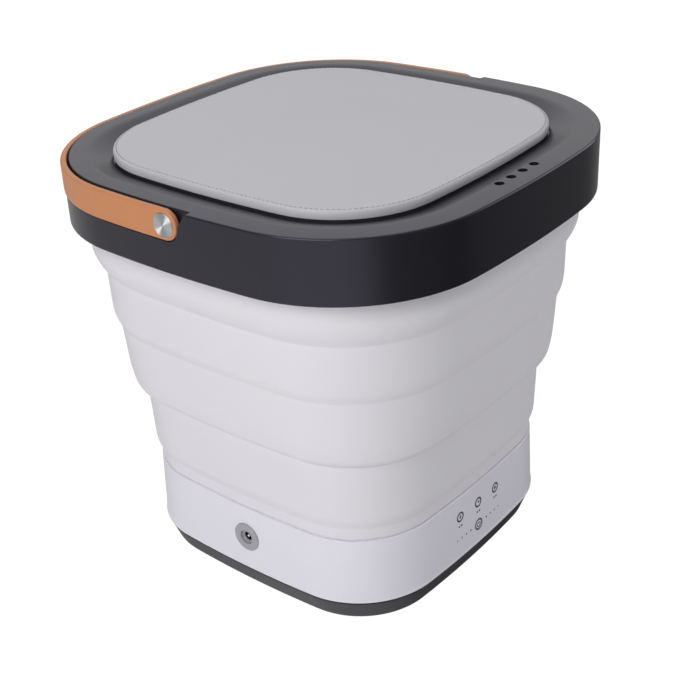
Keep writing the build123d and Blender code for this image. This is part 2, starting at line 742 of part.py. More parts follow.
def make_motor():
    """Steel can of the motor, standing on its bracket."""
    can = rod(MOTOR_RADIUS, motor_bottom, motor_cap_bottom, (MOTOR_X, 0))
    can = fillet(can.edges().sort_by(Axis.Z)[-1], MOTOR_CAP_INSET - SEAM)
    shaft_hole = motor_bottom + MOTOR_SHAFT_SUNK + 1
    can -= rod(MOTOR_SHAFT_RADIUS + RUNNING_FIT, motor_bottom - 1, shaft_hole, (MOTOR_X, 0))
    for side in (-1, 1):
        at = (MOTOR_X + side * MOTOR_SCREW_OFFSET, 0)
        can -= rod(SMALL_SCREW_RADIUS + RUNNING_FIT, motor_bottom - 1, motor_bottom + SMALL_SCREW_GRIP, at)
    return can


motor_plug_y = -(MOTOR_RADIUS + MOTOR_PLUG_REACH)
motor_plug_z = motor_cap_bottom + MOTOR_CAP_HEIGHT / 2


def make_motor_cap():
    """Plastic end cap of the motor with its plug."""
    high = motor_cap_bottom + MOTOR_CAP_HEIGHT
    cap = rod(MOTOR_RADIUS - MOTOR_CAP_INSET, motor_cap_bottom, high, (MOTOR_X, 0))
    plug = Box(PLUG_WIDTH, -motor_plug_y, MOTOR_CAP_HEIGHT)
    return cap + Pos(MOTOR_X, motor_plug_y / 2, motor_plug_z) * plug


def make_motor_bracket():
    """Steel plate on four posts of the pan."""
    width = 2 * (BRACKET_POST_X + BRACKET_EDGE)
    depth = 2 * (BRACKET_POST_Y + BRACKET_EDGE)
    plate = extrude(RectangleRounded(width, depth, BRACKET_EDGE), BRACKET_THICKNESS)
    plate = Pos(MOTOR_X, 0, bracket_bottom) * plate
    high = bracket_bottom + BRACKET_THICKNESS + 1
    plate -= rod(BRACKET_BORE_RADIUS, bracket_bottom - 1, high, (MOTOR_X, 0))
    holes = [spot(p) for p in bracket_spots]
    holes += [(MOTOR_X + side * MOTOR_SCREW_OFFSET, 0) for side in (-1, 1)]
    for at in holes:
        plate -= rod(SMALL_SCREW_RADIUS + SEAM, bracket_bottom - 1, high, at)
    return plate


def make_motor_screws():
    size = (SMALL_SCREW_RADIUS, SMALL_SCREW_HEAD_RADIUS, SMALL_SCREW_HEAD)
    length = BRACKET_THICKNESS + SMALL_SCREW_GRIP - SEAM
    spots = [(MOTOR_X + side * MOTOR_SCREW_OFFSET, 0) for side in (-1, 1)]
    return Compound([screw(*size, length, at, bracket_bottom) for at in spots])


def make_bracket_screws():
    size = (SMALL_SCREW_RADIUS, SMALL_SCREW_HEAD_RADIUS, SMALL_SCREW_HEAD)
    length = BRACKET_THICKNESS + BRACKET_SCREW_GRIP
    return Compound([screw(*size, length, spot(p), motor_bottom, up=False) for p in bracket_spots])


def make_motor_shaft():
    return rod(MOTOR_SHAFT_RADIUS, pulley_bottom - 0.5, motor_bottom + MOTOR_SHAFT_SUNK, (MOTOR_X, 0))


def make_motor_pulley():
    """Small pulley on the motor's shaft."""
    return Pos(MOTOR_X, 0, 0) * pulley(MOTOR_PULLEY_RADIUS, MOTOR_SHAFT_RADIUS + RUNNING_FIT)


# Control board


def make_control_board():
    """Printed circuit board on four bosses behind the touch keys."""
    board = Box(BOARD_WIDTH, BOARD_THICKNESS, board_top - board_bottom)
    board = Pos(0, (board_front + board_back) / 2, board_mid) * board
    for x, z in board_boss_spots():
        hole = extrude(Circle(BOARD_SCREW_RADIUS + SEAM), 3 * BOARD_THICKNESS)
        board -= along_y(hole, (x, board_front - BOARD_THICKNESS, z))
    return board


def make_board_parts():
    """Processor, driver, buzzer and two plugs on the inner side of the board."""
    parts = []
    for x in (-PLUG_X, PLUG_X):
        plug = Box(PLUG_WIDTH, PLUG_DEPTH, PLUG_HEIGHT)
        parts.append(Pos(x, board_back + PLUG_DEPTH / 2, plug_z) * plug)
    for x, up, width, height, depth in BOARD_CHIPS:
        parts.append(Pos(x, board_back + depth / 2, board_mid + up) * Box(width, depth, height))
    buzzer = extrude(Circle(BUZZER_RADIUS), BUZZER_HEIGHT)
    parts.append(along_y(buzzer, (-PLUG_X, board_back, plug_z + PLUG_HEIGHT + BUZZER_RADIUS)))
    return Compound(parts)


def make_board_screws():
    screws = []
    for x, z in board_boss_spots():
        head = extrude(Circle(BOARD_SCREW_HEAD_RADIUS), BOARD_SCREW_HEAD)
        shank = extrude(Circle(BOARD_SCREW_RADIUS), BOARD_THICKNESS + SMALL_SCREW_GRIP - SEAM)
        body = along_y(head, (x, board_back, z))
        body += along_y(shank, (x, board_front - SMALL_SCREW_GRIP + SEAM, z))
        screws.append(body)
    return Compound(screws)


def make_touch_springs():
    """Four sensing springs between the board and the inside of the housing wall."""
    springs = []
    keys = [(k * KEY_PITCH, key_z) for k in (-1, 0, 1)] + [(0, power_key_z)]
    for x, z in keys:
        bow = (abs(x) + SPRING_RADIUS) ** 2 / (2 * SIDE_RADIUS)
        reach = base_half_at(z + SPRING_RADIUS) - WALL - 3 * FIT - bow
        coil = Circle(SPRING_RADIUS) - Circle(SPRING_RADIUS - SPRING_WALL)
        springs.append(along_y(extrude(coil, board_front + reach), (x, -reach, z)))
    return Compound(springs)


def make_indicator_leds():
    """Two rows of small lamps beside the power key."""
    lamps = []
    for side in (-1, 1):
        for k in range(LED_COUNT):
            lamp = extrude(Circle(LED_RADIUS), LED_LENGTH)
            x = side * (LED_FIRST + k * LED_PITCH)
            lamps.append(along_y(lamp, (x, board_front - LED_LENGTH, power_key_z)))
    return Compound(lamps)


# Power inlet

jack_face = -(base_half_at(jack_z) + JACK_BEZEL_PROUD)
jack_seat = -(base_half_at(jack_z) - JACK_BEZEL_SUNK)
jack_back = jack_face + JACK_LENGTH


def make_jack_bezel():
    """Grey ring pressed into the housing, with a threaded neck."""
    flange = extrude(Circle(JACK_BEZEL_RADIUS), jack_seat - jack_face)
    flange = chamfer(flange.edges().sort_by(Axis.Z)[0], JACK_BEZEL_PROUD / 2)
    neck = extrude(Circle(JACK_NECK_RADIUS), JACK_NECK_LENGTH)
    bore = Pos(0, 0, -1) * extrude(Circle(JACK_SOCKET_RADIUS + RUNNING_FIT), JACK_LENGTH + 2)
    lip = Circle(JACK_SOCKET_RADIUS + SEAM) - Circle(JACK_BORE_RADIUS)
    body = flange + neck - bore
    body += extrude(lip, JACK_BEZEL_PROUD)
    return along_x(body, (jack_face, -JACK_FORWARD, jack_z))


def make_jack_socket():
    """Black moulding of the inlet with its deep round socket."""
    length = JACK_LENGTH - JACK_BEZEL_PROUD
    body = extrude(Circle(JACK_SOCKET_RADIUS), length)
    body -= extrude(Circle(JACK_BORE_RADIUS), JACK_BORE_DEPTH)
    body -= extrude(Circle(JACK_PIN_RADIUS + RUNNING_FIT), JACK_BORE_DEPTH + JACK_PIN_ROOT)
    return along_x(body, (jack_face + JACK_BEZEL_PROUD, -JACK_FORWARD, jack_z))


def make_jack_pin():
    start = jack_face + JACK_BEZEL_PROUD + JACK_PIN_SET_BACK
    length = JACK_BORE_DEPTH + JACK_PIN_ROOT - JACK_PIN_SET_BACK
    pin = extrude(Circle(JACK_PIN_RADIUS), length)
    pin = fillet(pin.edges().sort_by(Axis.Z)[0], JACK_PIN_RADIUS / 2)
    return along_x(pin, (start, -JACK_FORWARD, jack_z))


def make_jack_nut():
    """Hexagonal nut that clamps the bezel against the inside of the wall."""
    low = -(base_half_at(jack_z) - WALL - FIT)
    nut = RegularPolygon(JACK_NUT_RADIUS, 6) - Circle(JACK_NECK_RADIUS + RUNNING_FIT)
    return along_x(extrude(nut, JACK_NUT_THICKNESS), (low, -JACK_FORWARD, jack_z))


plug_mouth = board_back + PLUG_DEPTH


def inner_lead(start, bends, plug_x):
    """Lead from a point, through points given from there, straight into a plug on the board."""
    points = [start]
    points += [tuple(s + b for s, b in zip(start, bend)) for bend in bends]
    points += [(plug_x, plug_mouth + LEAD_OUT, plug_z), (plug_x, plug_mouth, plug_z)]
    return lead(points, LEAD_RADIUS)


def make_jack_lead():
    return inner_lead((jack_back, -JACK_FORWARD, jack_z), JACK_LEAD_BENDS, -PLUG_X)


def make_motor_lead():
    return inner_lead((MOTOR_X, motor_plug_y, motor_plug_z), MOTOR_LEAD_BENDS, PLUG_X)


# Rim


def recess_reach(extra):
    """Where the rim gives way to the handle: all the back, round its end, and a ramp up to the top."""
    depth = 2 * rim_half
    round_end = HANDLE_HEIGHT / 2 + RECESS_ROUND + extra
    back = Pos(0, depth / 2, pivot_z) * Box(4 * rim_half, depth, 4 * HANDLE_HEIGHT)
    end = along_x(extrude(Circle(round_end), 4 * rim_half), (-2 * rim_half, 0, pivot_z))
    ramp = Polyline(
        (0, pivot_z),
        (-round_end, pivot_z),
        (-RECESS_END - extra, rim_top),
        (-RECESS_END - extra, rim_top + HANDLE_HEIGHT),
        (0, rim_top + HANDLE_HEIGHT),
        close=True,
    )
    return back + end + extrude(Plane.YZ * make_face(ramp), 2 * rim_half, both=True)


def make_top_rim():
    """Dark rim: a deep skirt, a dished top with the lid's ledge, and the mouth's wall."""
    rim = block(rim_half, skirt_bottom, rim_top)
    rim = chamfer(rim.faces().sort_by(Axis.Z)[-1].edges(), RIM_EDGE)
    plate_bottom = rim_top - WALL
    ledge_bottom = ledge - WALL
    hollow = block(rim_inner, skirt_bottom - 1, plate_bottom)
    hollow -= tapered((recess_half + WALL, ledge_bottom), (border_half + WALL, plate_bottom + 1))
    hollow -= block(mouth_half + WALL, upper_flange_bottom, plate_bottom + 1)
    hollow -= fused([rod(RIM_BOSS_RADIUS, bellows_top, plate_bottom + 1, spot(p)) for p in rim_screw_spots])
    rim -= hollow
    rim -= tapered((recess_half, rim_top - RIM_DISH_DEPTH), (border_half, rim_top))
    rim -= block(recess_half, ledge, rim_top + 1)
    rim -= block(mouth_half, skirt_bottom - 1, rim_top + 1)
    top = ring_bottom + RIM_SCREW_LENGTH + 1
    for p in rim_screw_spots:
        rim -= rod(BASE_SCREW_RADIUS + RUNNING_FIT, bellows_top - 1, top, spot(p))
    liner = band(rim_half - RIM_EDGE, liner_inner, recess_bottom - WALL, rim_top - WALL)
    rim += liner & recess_reach(WALL)
    rim -= band(rim_half + 10, recess_face, recess_bottom, rim_top + 1) & recess_reach(0)
    for k in range(VENT_HOLES):
        x = (k - (VENT_HOLES - 1) / 2) * VENT_PITCH
        rim -= rod(VENT_RADIUS, ledge_bottom, rim_top + 1, (x, -(rim_half - VENT_INSET)))
    for side in (-1, 1):
        hole = Pos(0, 0, -20) * extrude(Circle(PIVOT_THREAD_RADIUS + SEAM), 40)
        rim -= along_x(hole, (side * recess_face, 0, pivot_z))
    return rim


def make_rim_under_ring():
    """Flat ring that clamps the soft wall's upper flange to the rim from below."""
    ring = band(bellows_top_half - SOFT_WALL - FIT, mouth_half, ring_bottom, upper_flange_bottom)
    for p in rim_screw_spots:
        ring -= rod(BASE_SCREW_RADIUS + FIT, ring_bottom - 1, upper_flange_bottom + 1, spot(p))
    return ring


def make_rim_screws():
    size = (BASE_SCREW_RADIUS, BASE_SCREW_HEAD_RADIUS, BASE_SCREW_HEAD)
    return Compound([screw(*size, RIM_SCREW_LENGTH, spot(p), ring_bottom) for p in rim_screw_spots])


def both_sides(make):
    """A piece made for the +X pivot, and its mirror image on the -X side."""
    piece = make()
    return Compound([piece, mirror(piece, about=Plane.YZ)])


def make_pivot_screws():
    """Shoulder screws with a wide turned head that the handle swings on."""

    def one():
        head_start = handle_outer - PIVOT_HEAD_SUNK
        head = extrude(Circle(PIVOT_HEAD_RADIUS), PIVOT_HEAD_SUNK + PIVOT_HEAD_PROUD)
        head = chamfer(head.edges().sort_by(Axis.Z)[-1], PIVOT_HEAD_PROUD / 2)
        body = along_x(head, (head_start, 0, pivot_z))
        shoulder = extrude(Circle(PIVOT_SHOULDER_RADIUS), head_start - recess_face)
        body += along_x(shoulder, (recess_face, 0, pivot_z))
        thread = extrude(Circle(PIVOT_THREAD_RADIUS), PIVOT_THREAD_LENGTH)
        return body + along_x(thread, (recess_face - PIVOT_THREAD_LENGTH, 0, pivot_z))

    return both_sides(one)


def make_pivot_washers():
    def one():
        ring = Circle(PIVOT_WASHER_RADIUS) - Circle(PIVOT_THREAD_RADIUS + SEAM)
        return along_x(extrude(ring, PIVOT_WASHER), (washer_face - PIVOT_WASHER, 0, pivot_z))

    return both_sides(one)


def make_pivot_nuts():
    def one():
        ring = RegularPolygon(PIVOT_NUT_RADIUS, 6) - Circle(PIVOT_THREAD_RADIUS + RUNNING_FIT)
        return along_x(extrude(ring, PIVOT_NUT), (washer_face - PIVOT_WASHER - PIVOT_NUT, 0, pivot_z))

    return both_sides(one)


def make_handle():
    """Flat carrying handle wrapped round the back of the rim, with round ends."""
    strap = band(handle_outer, handle_inner, handle_bottom, handle_top)
    reach = 2 * rim_half
    back = Pos(0, reach / 2, pivot_z) * Box(2 * reach, reach, 2 * HANDLE_HEIGHT)
    end = along_x(extrude(Circle(HANDLE_HEIGHT / 2), 2 * reach), (-reach, 0, pivot_z))
    strap = strap & (back + end)
    for side in (-1, 1):
        bore = Pos(0, 0, -10) * extrude(Circle(PIVOT_SHOULDER_RADIUS + RUNNING_FIT), 20)
        strap -= along_x(bore, (side * handle_inner, 0, pivot_z))
        floor_x = handle_outer - PIVOT_HEAD_SUNK - SEAM
        seat = extrude(Circle(PIVOT_HEAD_RADIUS + FIT), 10)
        low = floor_x if side > 0 else -floor_x - 10
        strap -= along_x(seat, (low, 0, pivot_z))
    return strap


# Lid


def make_lid_plate():
    """Stiff plate of the lid, with a ring that plugs into the mouth."""
    plate = block(lid_half - LID_PLATE_INSET, ledge, pad_bottom)
    plug = mouth_half - PLUG_RING_GAP
    return plate + band(plug, plug - PLUG_RING_WALL, ledge - PLUG_RING_DEPTH, ledge + 1)


def make_lid_seal():
    """Silicone ring round the lid's plug."""
    high = ledge - LID_SEAL_DROP
    return band(mouth_half - FIT, mouth_half - PLUG_RING_GAP, high - LID_SEAL_HEIGHT, high)


def make_lid_cover():
    """Grained soft cover of the lid with a rounded edge, folded down round the foam."""
    cover = block(lid_half, pad_bottom, pad_top)
    cover = fillet(cover.faces().sort_by(Axis.Z)[-1].edges(), COVER_EDGE)
    return cover - block(lid_half - COVER_WALL, pad_bottom - 1, pad_top - COVER_WALL)


def make_lid_pad():
    """Thin foam pad inside the lid's cover."""
    return block(lid_half - COVER_WALL - FIT, pad_bottom, pad_top - COVER_WALL - SEAM)


NODES = {
    "feet": make_feet,
    "base_pan": make_base_pan,
    "base_housing": make_base_housing,
    "base_screws": make_base_screws,
    "bellows": make_bellows,
    "tub_floor": make_tub_floor,
    "floor_screws": make_floor_screws,
    "shaft_bushes": make_shaft_bushes,
    "shaft_seal": make_shaft_seal,
    "impeller": make_impeller,
    "impeller_screw": make_impeller_screw,
    "drive_shaft": make_drive_shaft,
    "shaft_clip": make_shaft_clip,
    "driven_pulley": make_driven_pulley,
    "pulley_nut": make_pulley_nut,
    "drive_belt": make_drive_belt,
    "motor": make_motor,
    "motor_cap": make_motor_cap,
    "motor_bracket": make_motor_bracket,
    "motor_screws": make_motor_screws,
    "bracket_screws": make_bracket_screws,
    "motor_shaft": make_motor_shaft,
    "motor_pulley": make_motor_pulley,
    "control_board": make_control_board,
    "board_parts": make_board_parts,
    "board_screws": make_board_screws,
    "touch_springs": make_touch_springs,
    "indicator_leds": make_indicator_leds,
    "jack_bezel": make_jack_bezel,
    "jack_socket": make_jack_socket,
    "jack_pin": make_jack_pin,
    "jack_nut": make_jack_nut,
    "jack_lead": make_jack_lead,
    "motor_lead": make_motor_lead,
    "top_rim": make_top_rim,
    "rim_under_ring": make_rim_under_ring,
    "rim_screws": make_rim_screws,
    "pivot_screws": make_pivot_screws,
    "pivot_washers": make_pivot_washers,
    "pivot_nuts": make_pivot_nuts,
    "handle": make_handle,
    "lid_plate": make_lid_plate,
    "lid_seal": make_lid_seal,
    "lid_cover": make_lid_cover,
    "lid_pad": make_lid_pad,
}

os.makedirs("parts", exist_ok=True)
for name, make in NODES.items():
    export_step(make(), f"parts/{name}.step")
print("rim half-width", rim_half, "rim top", rim_top, "lid top", pad_top, "pivot z", pivot_z)
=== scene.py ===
from math import atan2, cos, pi, radians, sin, sqrt

import bmesh
import bpy
from mathutils import Matrix, Vector


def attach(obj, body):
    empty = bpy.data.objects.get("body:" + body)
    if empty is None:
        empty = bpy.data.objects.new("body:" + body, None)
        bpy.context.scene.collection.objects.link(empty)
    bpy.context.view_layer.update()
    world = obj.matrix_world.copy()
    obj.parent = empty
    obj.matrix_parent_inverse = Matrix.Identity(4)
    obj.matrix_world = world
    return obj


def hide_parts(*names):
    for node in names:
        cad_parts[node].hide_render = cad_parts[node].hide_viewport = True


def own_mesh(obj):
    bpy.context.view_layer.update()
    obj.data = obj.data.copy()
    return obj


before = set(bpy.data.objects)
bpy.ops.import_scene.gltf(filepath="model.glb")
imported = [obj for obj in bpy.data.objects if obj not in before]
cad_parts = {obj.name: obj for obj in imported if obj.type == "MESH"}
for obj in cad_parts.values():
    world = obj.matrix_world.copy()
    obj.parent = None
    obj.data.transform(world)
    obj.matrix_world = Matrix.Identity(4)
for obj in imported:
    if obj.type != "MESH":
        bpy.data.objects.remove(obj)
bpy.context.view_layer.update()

# A foldable washing machine: a low base with the drive, a pleated soft tub, and a deep dark rim
# with a padded lid and a swinging handle. Lengths are millimetres and become metres by MM.
MM = 0.001


# Feet
# Four small pads, compression-moulded in nitrile rubber and glued into recesses under the pan.
# The tool leaves them dead matt.


def paint(code):
    """The linear colour of an sRGB hex code."""
    channels = []
    for k in (1, 3, 5):
        v = int(code[k : k + 2], 16) / 255
        channels.append(v / 12.92 if v <= 0.04045 else ((v + 0.055) / 1.055) ** 2.4)
    return (*channels, 1.0)


def add(tree, kind, sockets=None, **settings):
    """Adds a shader node, with its settings, and its sockets set or linked to (node, output)."""
    made = tree.nodes.new(kind)
    for setting, value in settings.items():
        setattr(made, setting, value)
    for socket, value in (sockets or {}).items():
        if isinstance(value, tuple) and isinstance(value[0], bpy.types.Node):
            tree.links.new(value[0].outputs[value[1]], made.inputs[socket])
        else:
            made.inputs[socket].default_value = value
    return made


def moulded(name, colour, drift_colour, roughness, grain, depth, **sockets):
    """A moulded finish: a slow drift of colour, and the tool's grain, with lengths in metres."""
    stuff = bpy.data.materials.new(name)
    stuff.use_nodes = True
    tree = stuff.node_tree
    tree.nodes.clear()
    place = add(tree, "ShaderNodeTexCoord")
    drift = add(
        tree, "ShaderNodeTexNoise", {"Vector": (place, "Object"), "Scale": 14.0, "Detail": 2.0}
    )
    tint = add(
        tree,
        "ShaderNodeMix",
        {"Factor": (drift, "Fac"), 6: paint(colour), 7: paint(drift_colour)},
        data_type="RGBA",
    )
    speck = add(
        tree, "ShaderNodeTexNoise", {"Vector": (place, "Object"), "Scale": 1 / grain, "Detail": 3.0}
    )
    gloss = add(
        tree,
        "ShaderNodeMapRange",
        {"Value": (speck, "Fac"), "To Min": roughness - 0.04, "To Max": roughness + 0.04},
    )
    relief = add(
        tree, "ShaderNodeBump", {"Height": (speck, "Fac"), "Distance": depth, "Strength": 1.0}
    )
    shader = add(
        tree,
        "ShaderNodeBsdfPrincipled",
        {
            "Base Color": (tint, 2),
            "Roughness": (gloss, "Result"),
            "Normal": (relief, "Normal"),
            **{socket.replace("_", " "): value for socket, value in sockets.items()},
        },
    )
    add(tree, "ShaderNodeOutputMaterial", {"Surface": (shader, "BSDF")})
    return stuff


def dress(stuff, *nodes):
    """Gives CAD nodes a finish."""
    for node in nodes:
        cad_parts[node].data.materials.clear()
        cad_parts[node].data.materials.append(stuff)


dress(moulded("nitrile rubber", "#1C1C1D", "#232324", 0.75, 0.5 * MM, 0.02 * MM), "feet")


# Base pan
# A shallow tray, injection-moulded in grey polypropylene, screwed up into the housing.
# Its top edge is set back a little, which draws a dark line under the housing.

SIDE_RADIUS = 947.0
CORNER_RADIUS = 106.0
RIM_HALF = 165.0
side_reach = SIDE_RADIUS - RIM_HALF
corner_gap = SIDE_RADIUS - CORNER_RADIUS
corner_at = (sqrt(2 * corner_gap**2 - side_reach**2) - side_reach) / 2
side_turn = atan2(corner_at, side_reach + corner_at)
corner_turn = pi / 2 - 2 * side_turn


def pick(piece, wanted):
    """In edit mode, selects the vertices whose place passes a test, and nothing else."""
    bpy.ops.mesh.select_all(action="DESELECT")
    mesh = bmesh.from_edit_mesh(piece.data)
    for vertex in mesh.verts:
        if wanted(vertex.co / MM):
            vertex.select_set(True)
    mesh.select_flush_mode()
    bmesh.update_edit_mesh(piece.data)


def draw_section(name, corners, closed):
    """A wall's section at the front's middle, from each corner's half-width, height, rounding."""
    half, height, _ = corners[0]
    bpy.ops.object.select_all(action="DESELECT")
    bpy.ops.mesh.primitive_plane_add(size=MM, location=(0, -half * MM, height * MM))
    piece = bpy.context.object
    piece.name = name
    bpy.ops.object.transform_apply(location=True)
    bpy.ops.object.mode_set(mode="EDIT")
    bpy.ops.mesh.merge(type="CENTER")
    for here, there in zip(corners, corners[1:] + corners[:1] * closed):
        step = (0, (here[0] - there[0]) * MM, (there[1] - here[1]) * MM)
        bpy.ops.mesh.extrude_region_move(TRANSFORM_OT_translate={"value": step})
    bpy.ops.mesh.select_all(action="SELECT")
    bpy.ops.mesh.remove_doubles(threshold=0.001 * MM)
    for rounding in sorted({corner[2] for corner in corners} - {0}):
        spots = [Vector((0, -c[0], c[1])) for c in corners if c[2] == rounding]
        pick(piece, lambda at: min((at - spot).length for spot in spots) < 0.001)
        bpy.ops.mesh.bevel(offset=rounding * MM, segments=5, affect="VERTICES")
    bpy.ops.mesh.select_all(action="SELECT")
    return piece


def spin_on(turn, centre, steps, copies=False):
    """Carries what is selected round an upright axis, clockwise from above."""
    bpy.ops.mesh.spin(
        steps=steps, angle=turn, center=(*(centre * MM), 0), axis=(0, 0, 1), dupli=copies
    )


def spin_outline(sides, side_steps, corner_steps, copies=False):
    """Carries what is selected from the front's middle round so many of the machine's sides."""
    side_centre = Vector((0, side_reach))
    corner_centre = Vector((-corner_at, -corner_at))
    quarter = Matrix.Rotation(-pi / 2, 2)
    for _ in range(sides):
        spin_on(side_turn, side_centre, side_steps, copies)
        spin_on(corner_turn, corner_centre, corner_steps, copies)
        side_centre = quarter @ side_centre
        corner_centre = quarter @ corner_centre
        spin_on(side_turn, side_centre, side_steps, copies)


def settle(piece, smooth=35):
    """Merges the seams, turns the faces outwards and smooths all but the hard edges."""
    bpy.ops.mesh.select_all(action="SELECT")
    bpy.ops.mesh.remove_doubles(threshold=0.01 * MM)
    bpy.ops.mesh.normals_make_consistent(inside=False)
    bpy.ops.object.mode_set(mode="OBJECT")
    bpy.ops.object.shade_smooth_by_angle(angle=radians(smooth))
    return piece


def ring(name, corners, closed=True, sides=4):
    """A ring of the machine's outline, swept from its section."""
    piece = draw_section(name, corners, closed)
    spin_outline(sides, 6, 20)
    return settle(piece)


def cap(piece, half, height):
    """Closes the loop at a half-width and height with a face."""
    bpy.ops.object.mode_set(mode="EDIT")
    bpy.ops.mesh.select_mode(type="VERT")
    mesh = bmesh.from_edit_mesh(piece.data)
    bpy.ops.mesh.select_all(action="DESELECT")
    for edge in mesh.edges:
        level = all(abs(v.co.z - height * MM) < 0.01 * MM for v in edge.verts)
        inside = all(max(abs(v.co.x), abs(v.co.y)) < (half + 0.1) * MM for v in edge.verts)
        if edge.is_boundary and level and inside:
            edge.select_set(True)
    bmesh.update_edit_mesh(piece.data)
    bpy.ops.mesh.edge_face_add()
    settle(piece)


def modify(piece, kind, **settings):
    """Adds a modifier and applies it."""
    bpy.ops.object.select_all(action="DESELECT")
    piece.select_set(True)
    bpy.context.view_layer.objects.active = piece
    made = piece.modifiers.new(kind.lower(), kind)
    for setting, value in settings.items():
        setattr(made, setting, value)
    bpy.ops.object.modifier_apply(modifier=made.name)


def cut(piece, cutter, how="DIFFERENCE"):
    """Cuts one piece with another, which is used up, and finds the hard edges again."""
    modify(piece, "BOOLEAN", object=cutter, operation=how, solver="EXACT")
    bpy.data.objects.remove(cutter)
    bpy.ops.object.shade_smooth_by_angle(angle=radians(35))


def drill(piece, radius, start, end):
    """Bores a round hole from one point to another."""
    start, end = Vector(start) * MM, Vector(end) * MM
    bpy.ops.object.select_all(action="DESELECT")
    bpy.ops.mesh.primitive_cylinder_add(
        vertices=48,
        radius=radius * MM,
        depth=(end - start).length,
        location=(start + end) / 2,
        rotation=(end - start).to_track_quat("Z", "Y").to_euler(),
    )
    cut(piece, bpy.context.object)


def even_out(piece):
    """Leans the shading on the large faces, so that flats stay flat beside rounded edges."""
    modify(piece, "WEIGHTED_NORMAL", keep_sharp=True, weight=80)


def finish_piece(piece, stuff, body, slot, *nodes):
    """Dresses a finished piece in its finish, ties it to its body and hides the nodes it stands
    for.
    """
    piece.data.materials.clear()
    piece.data.materials.append(stuff)
    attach(piece, body)
    if nodes:
        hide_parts(*nodes)


PAN_BOTTOM = 2.0
PAN_FLOOR = 4.5
PAN_TOP = 20.0
PAN_MIDDLE = 70.0
PAN_SCREW_HALF = 108.0
PAN_SCREW_AT = corner_at + (CORNER_RADIUS - RIM_HALF + PAN_SCREW_HALF) / sqrt(2)
PAN_SCREW_HOLE = 4.2

pan = ring(
    "pan_tray",
    [
        (PAN_MIDDLE, PAN_BOTTOM, 0),
        (116.5, PAN_BOTTOM, 0.8),
        (117.9, 4.0, 1.0),
        (123.3, 18.2, 0.5),
        (121.8, 18.5, 0.2),
        (121.8, PAN_TOP, 0),
        (119.0, PAN_TOP, 0),
        (114.0, PAN_FLOOR, 1.0),
        (PAN_MIDDLE, PAN_FLOOR, 0),
    ],
    closed=False,
)
cap(pan, PAN_MIDDLE, PAN_BOTTOM)
cap(pan, PAN_MIDDLE, PAN_FLOOR)
for x in (-PAN_SCREW_AT, PAN_SCREW_AT):
    for y in (-PAN_SCREW_AT, PAN_SCREW_AT):
        drill(pan, PAN_SCREW_HOLE, (x, y, 0.0), (x, y, PAN_FLOOR + 1.5))
even_out(pan)
# The tool's fine spark texture leaves it nearly without shine, a plain dark grey.
polypropylene_grey = moulded(
    "polypropylene, fine spark finish",
    "#454449",
    "#49484D",
    0.5,
    0.45 * MM,
    0.01 * MM,
    Specular_IOR_Level=0.2,
)
finish_piece(pan, polypropylene_grey, "base", "pan_grey", "base_pan")


# Fixings
# Zinc-plated steel screws and nuts: bright, a little yellow, with a faint drawn grain.


def metal(name, colour, drift_colour, roughness, grain):
    """A bare metal with a faint grain that breaks its gloss, its size in metres."""
    stuff = bpy.data.materials.new(name)
    stuff.use_nodes = True
    tree = stuff.node_tree
    tree.nodes.clear()
    place = add(tree, "ShaderNodeTexCoord")
    speck = add(
        tree, "ShaderNodeTexNoise", {"Vector": (place, "Object"), "Scale": 1 / grain, "Detail": 4.0}
    )
    tint = add(
        tree,
        "ShaderNodeMix",
        {"Factor": (speck, "Fac"), 6: paint(colour), 7: paint(drift_colour)},
        data_type="RGBA",
    )
    gloss = add(
        tree,
        "ShaderNodeMapRange",
        {"Value": (speck, "Fac"), "To Min": roughness - 0.06, "To Max": roughness + 0.06},
    )
    relief = add(
        tree, "ShaderNodeBump", {"Height": (speck, "Fac"), "Distance": 0.004 * MM, "Strength": 0.6}
    )
    shader = add(
        tree,
        "ShaderNodeBsdfPrincipled",
        {
            "Base Color": (tint, 2),
            "Metallic": 1.0,
            "Roughness": (gloss, "Result"),
            "Normal": (relief, "Normal"),
        },
    )
    add(tree, "ShaderNodeOutputMaterial", {"Surface": (shader, "BSDF")})
    return stuff


zinc = metal("zinc-plated steel", "#C9C8C2", "#BDBCB0", 0.32, 0.6 * MM)
dress(
    zinc,
    "base_screws",
    "floor_screws",
    "motor_screws",
    "bracket_screws",
    "board_screws",
    "rim_screws",
    "pulley_nut",
    "pivot_washers",
    "pivot_nuts",
)


# Motor and belt drive
# A plated steel can with a moulded end cap on a pressed bracket, and a flat rubber belt to a
# large glass-filled nylon pulley. Turned steel shafts run in sintered bronze bushes. The metals
# shine through a faint grain, and the nylon, rubber and silicone are dull.

dress(metal("plated motor can", "#B4B5B8", "#A6A7AB", 0.38, 1.2 * MM), "motor", "motor_bracket")
dress(
    moulded("glass-filled nylon", "#1E1E20", "#2A2A2C", 0.5, 0.7 * MM, 0.02 * MM),
    "motor_cap",
    "driven_pulley",
    "motor_pulley",
)
dress(moulded("belt rubber", "#161616", "#1D1D1E", 0.7, 0.4 * MM, 0.02 * MM), "drive_belt")
dress(
    metal("ground steel", "#C4C5C8", "#B6B7BA", 0.22, 0.5 * MM),
    "drive_shaft",
    "motor_shaft",
    "shaft_clip",
    "impeller_screw",
    "touch_springs",
)
dress(metal("sintered bronze", "#A9824B", "#8C6636", 0.45, 0.35 * MM), "shaft_bushes")
dress(
    moulded("silicone seal", "#8F9094", "#97989C", 0.6, 0.5 * MM, 0.01 * MM),
    "shaft_seal",
    "lid_seal",
)


# Control board
# A glass-epoxy board with black moulded parts and clear lamps, under green solder mask that
# has a thin gloss. Leads in dull, soft black sheath run to it from the inlet and the motor.

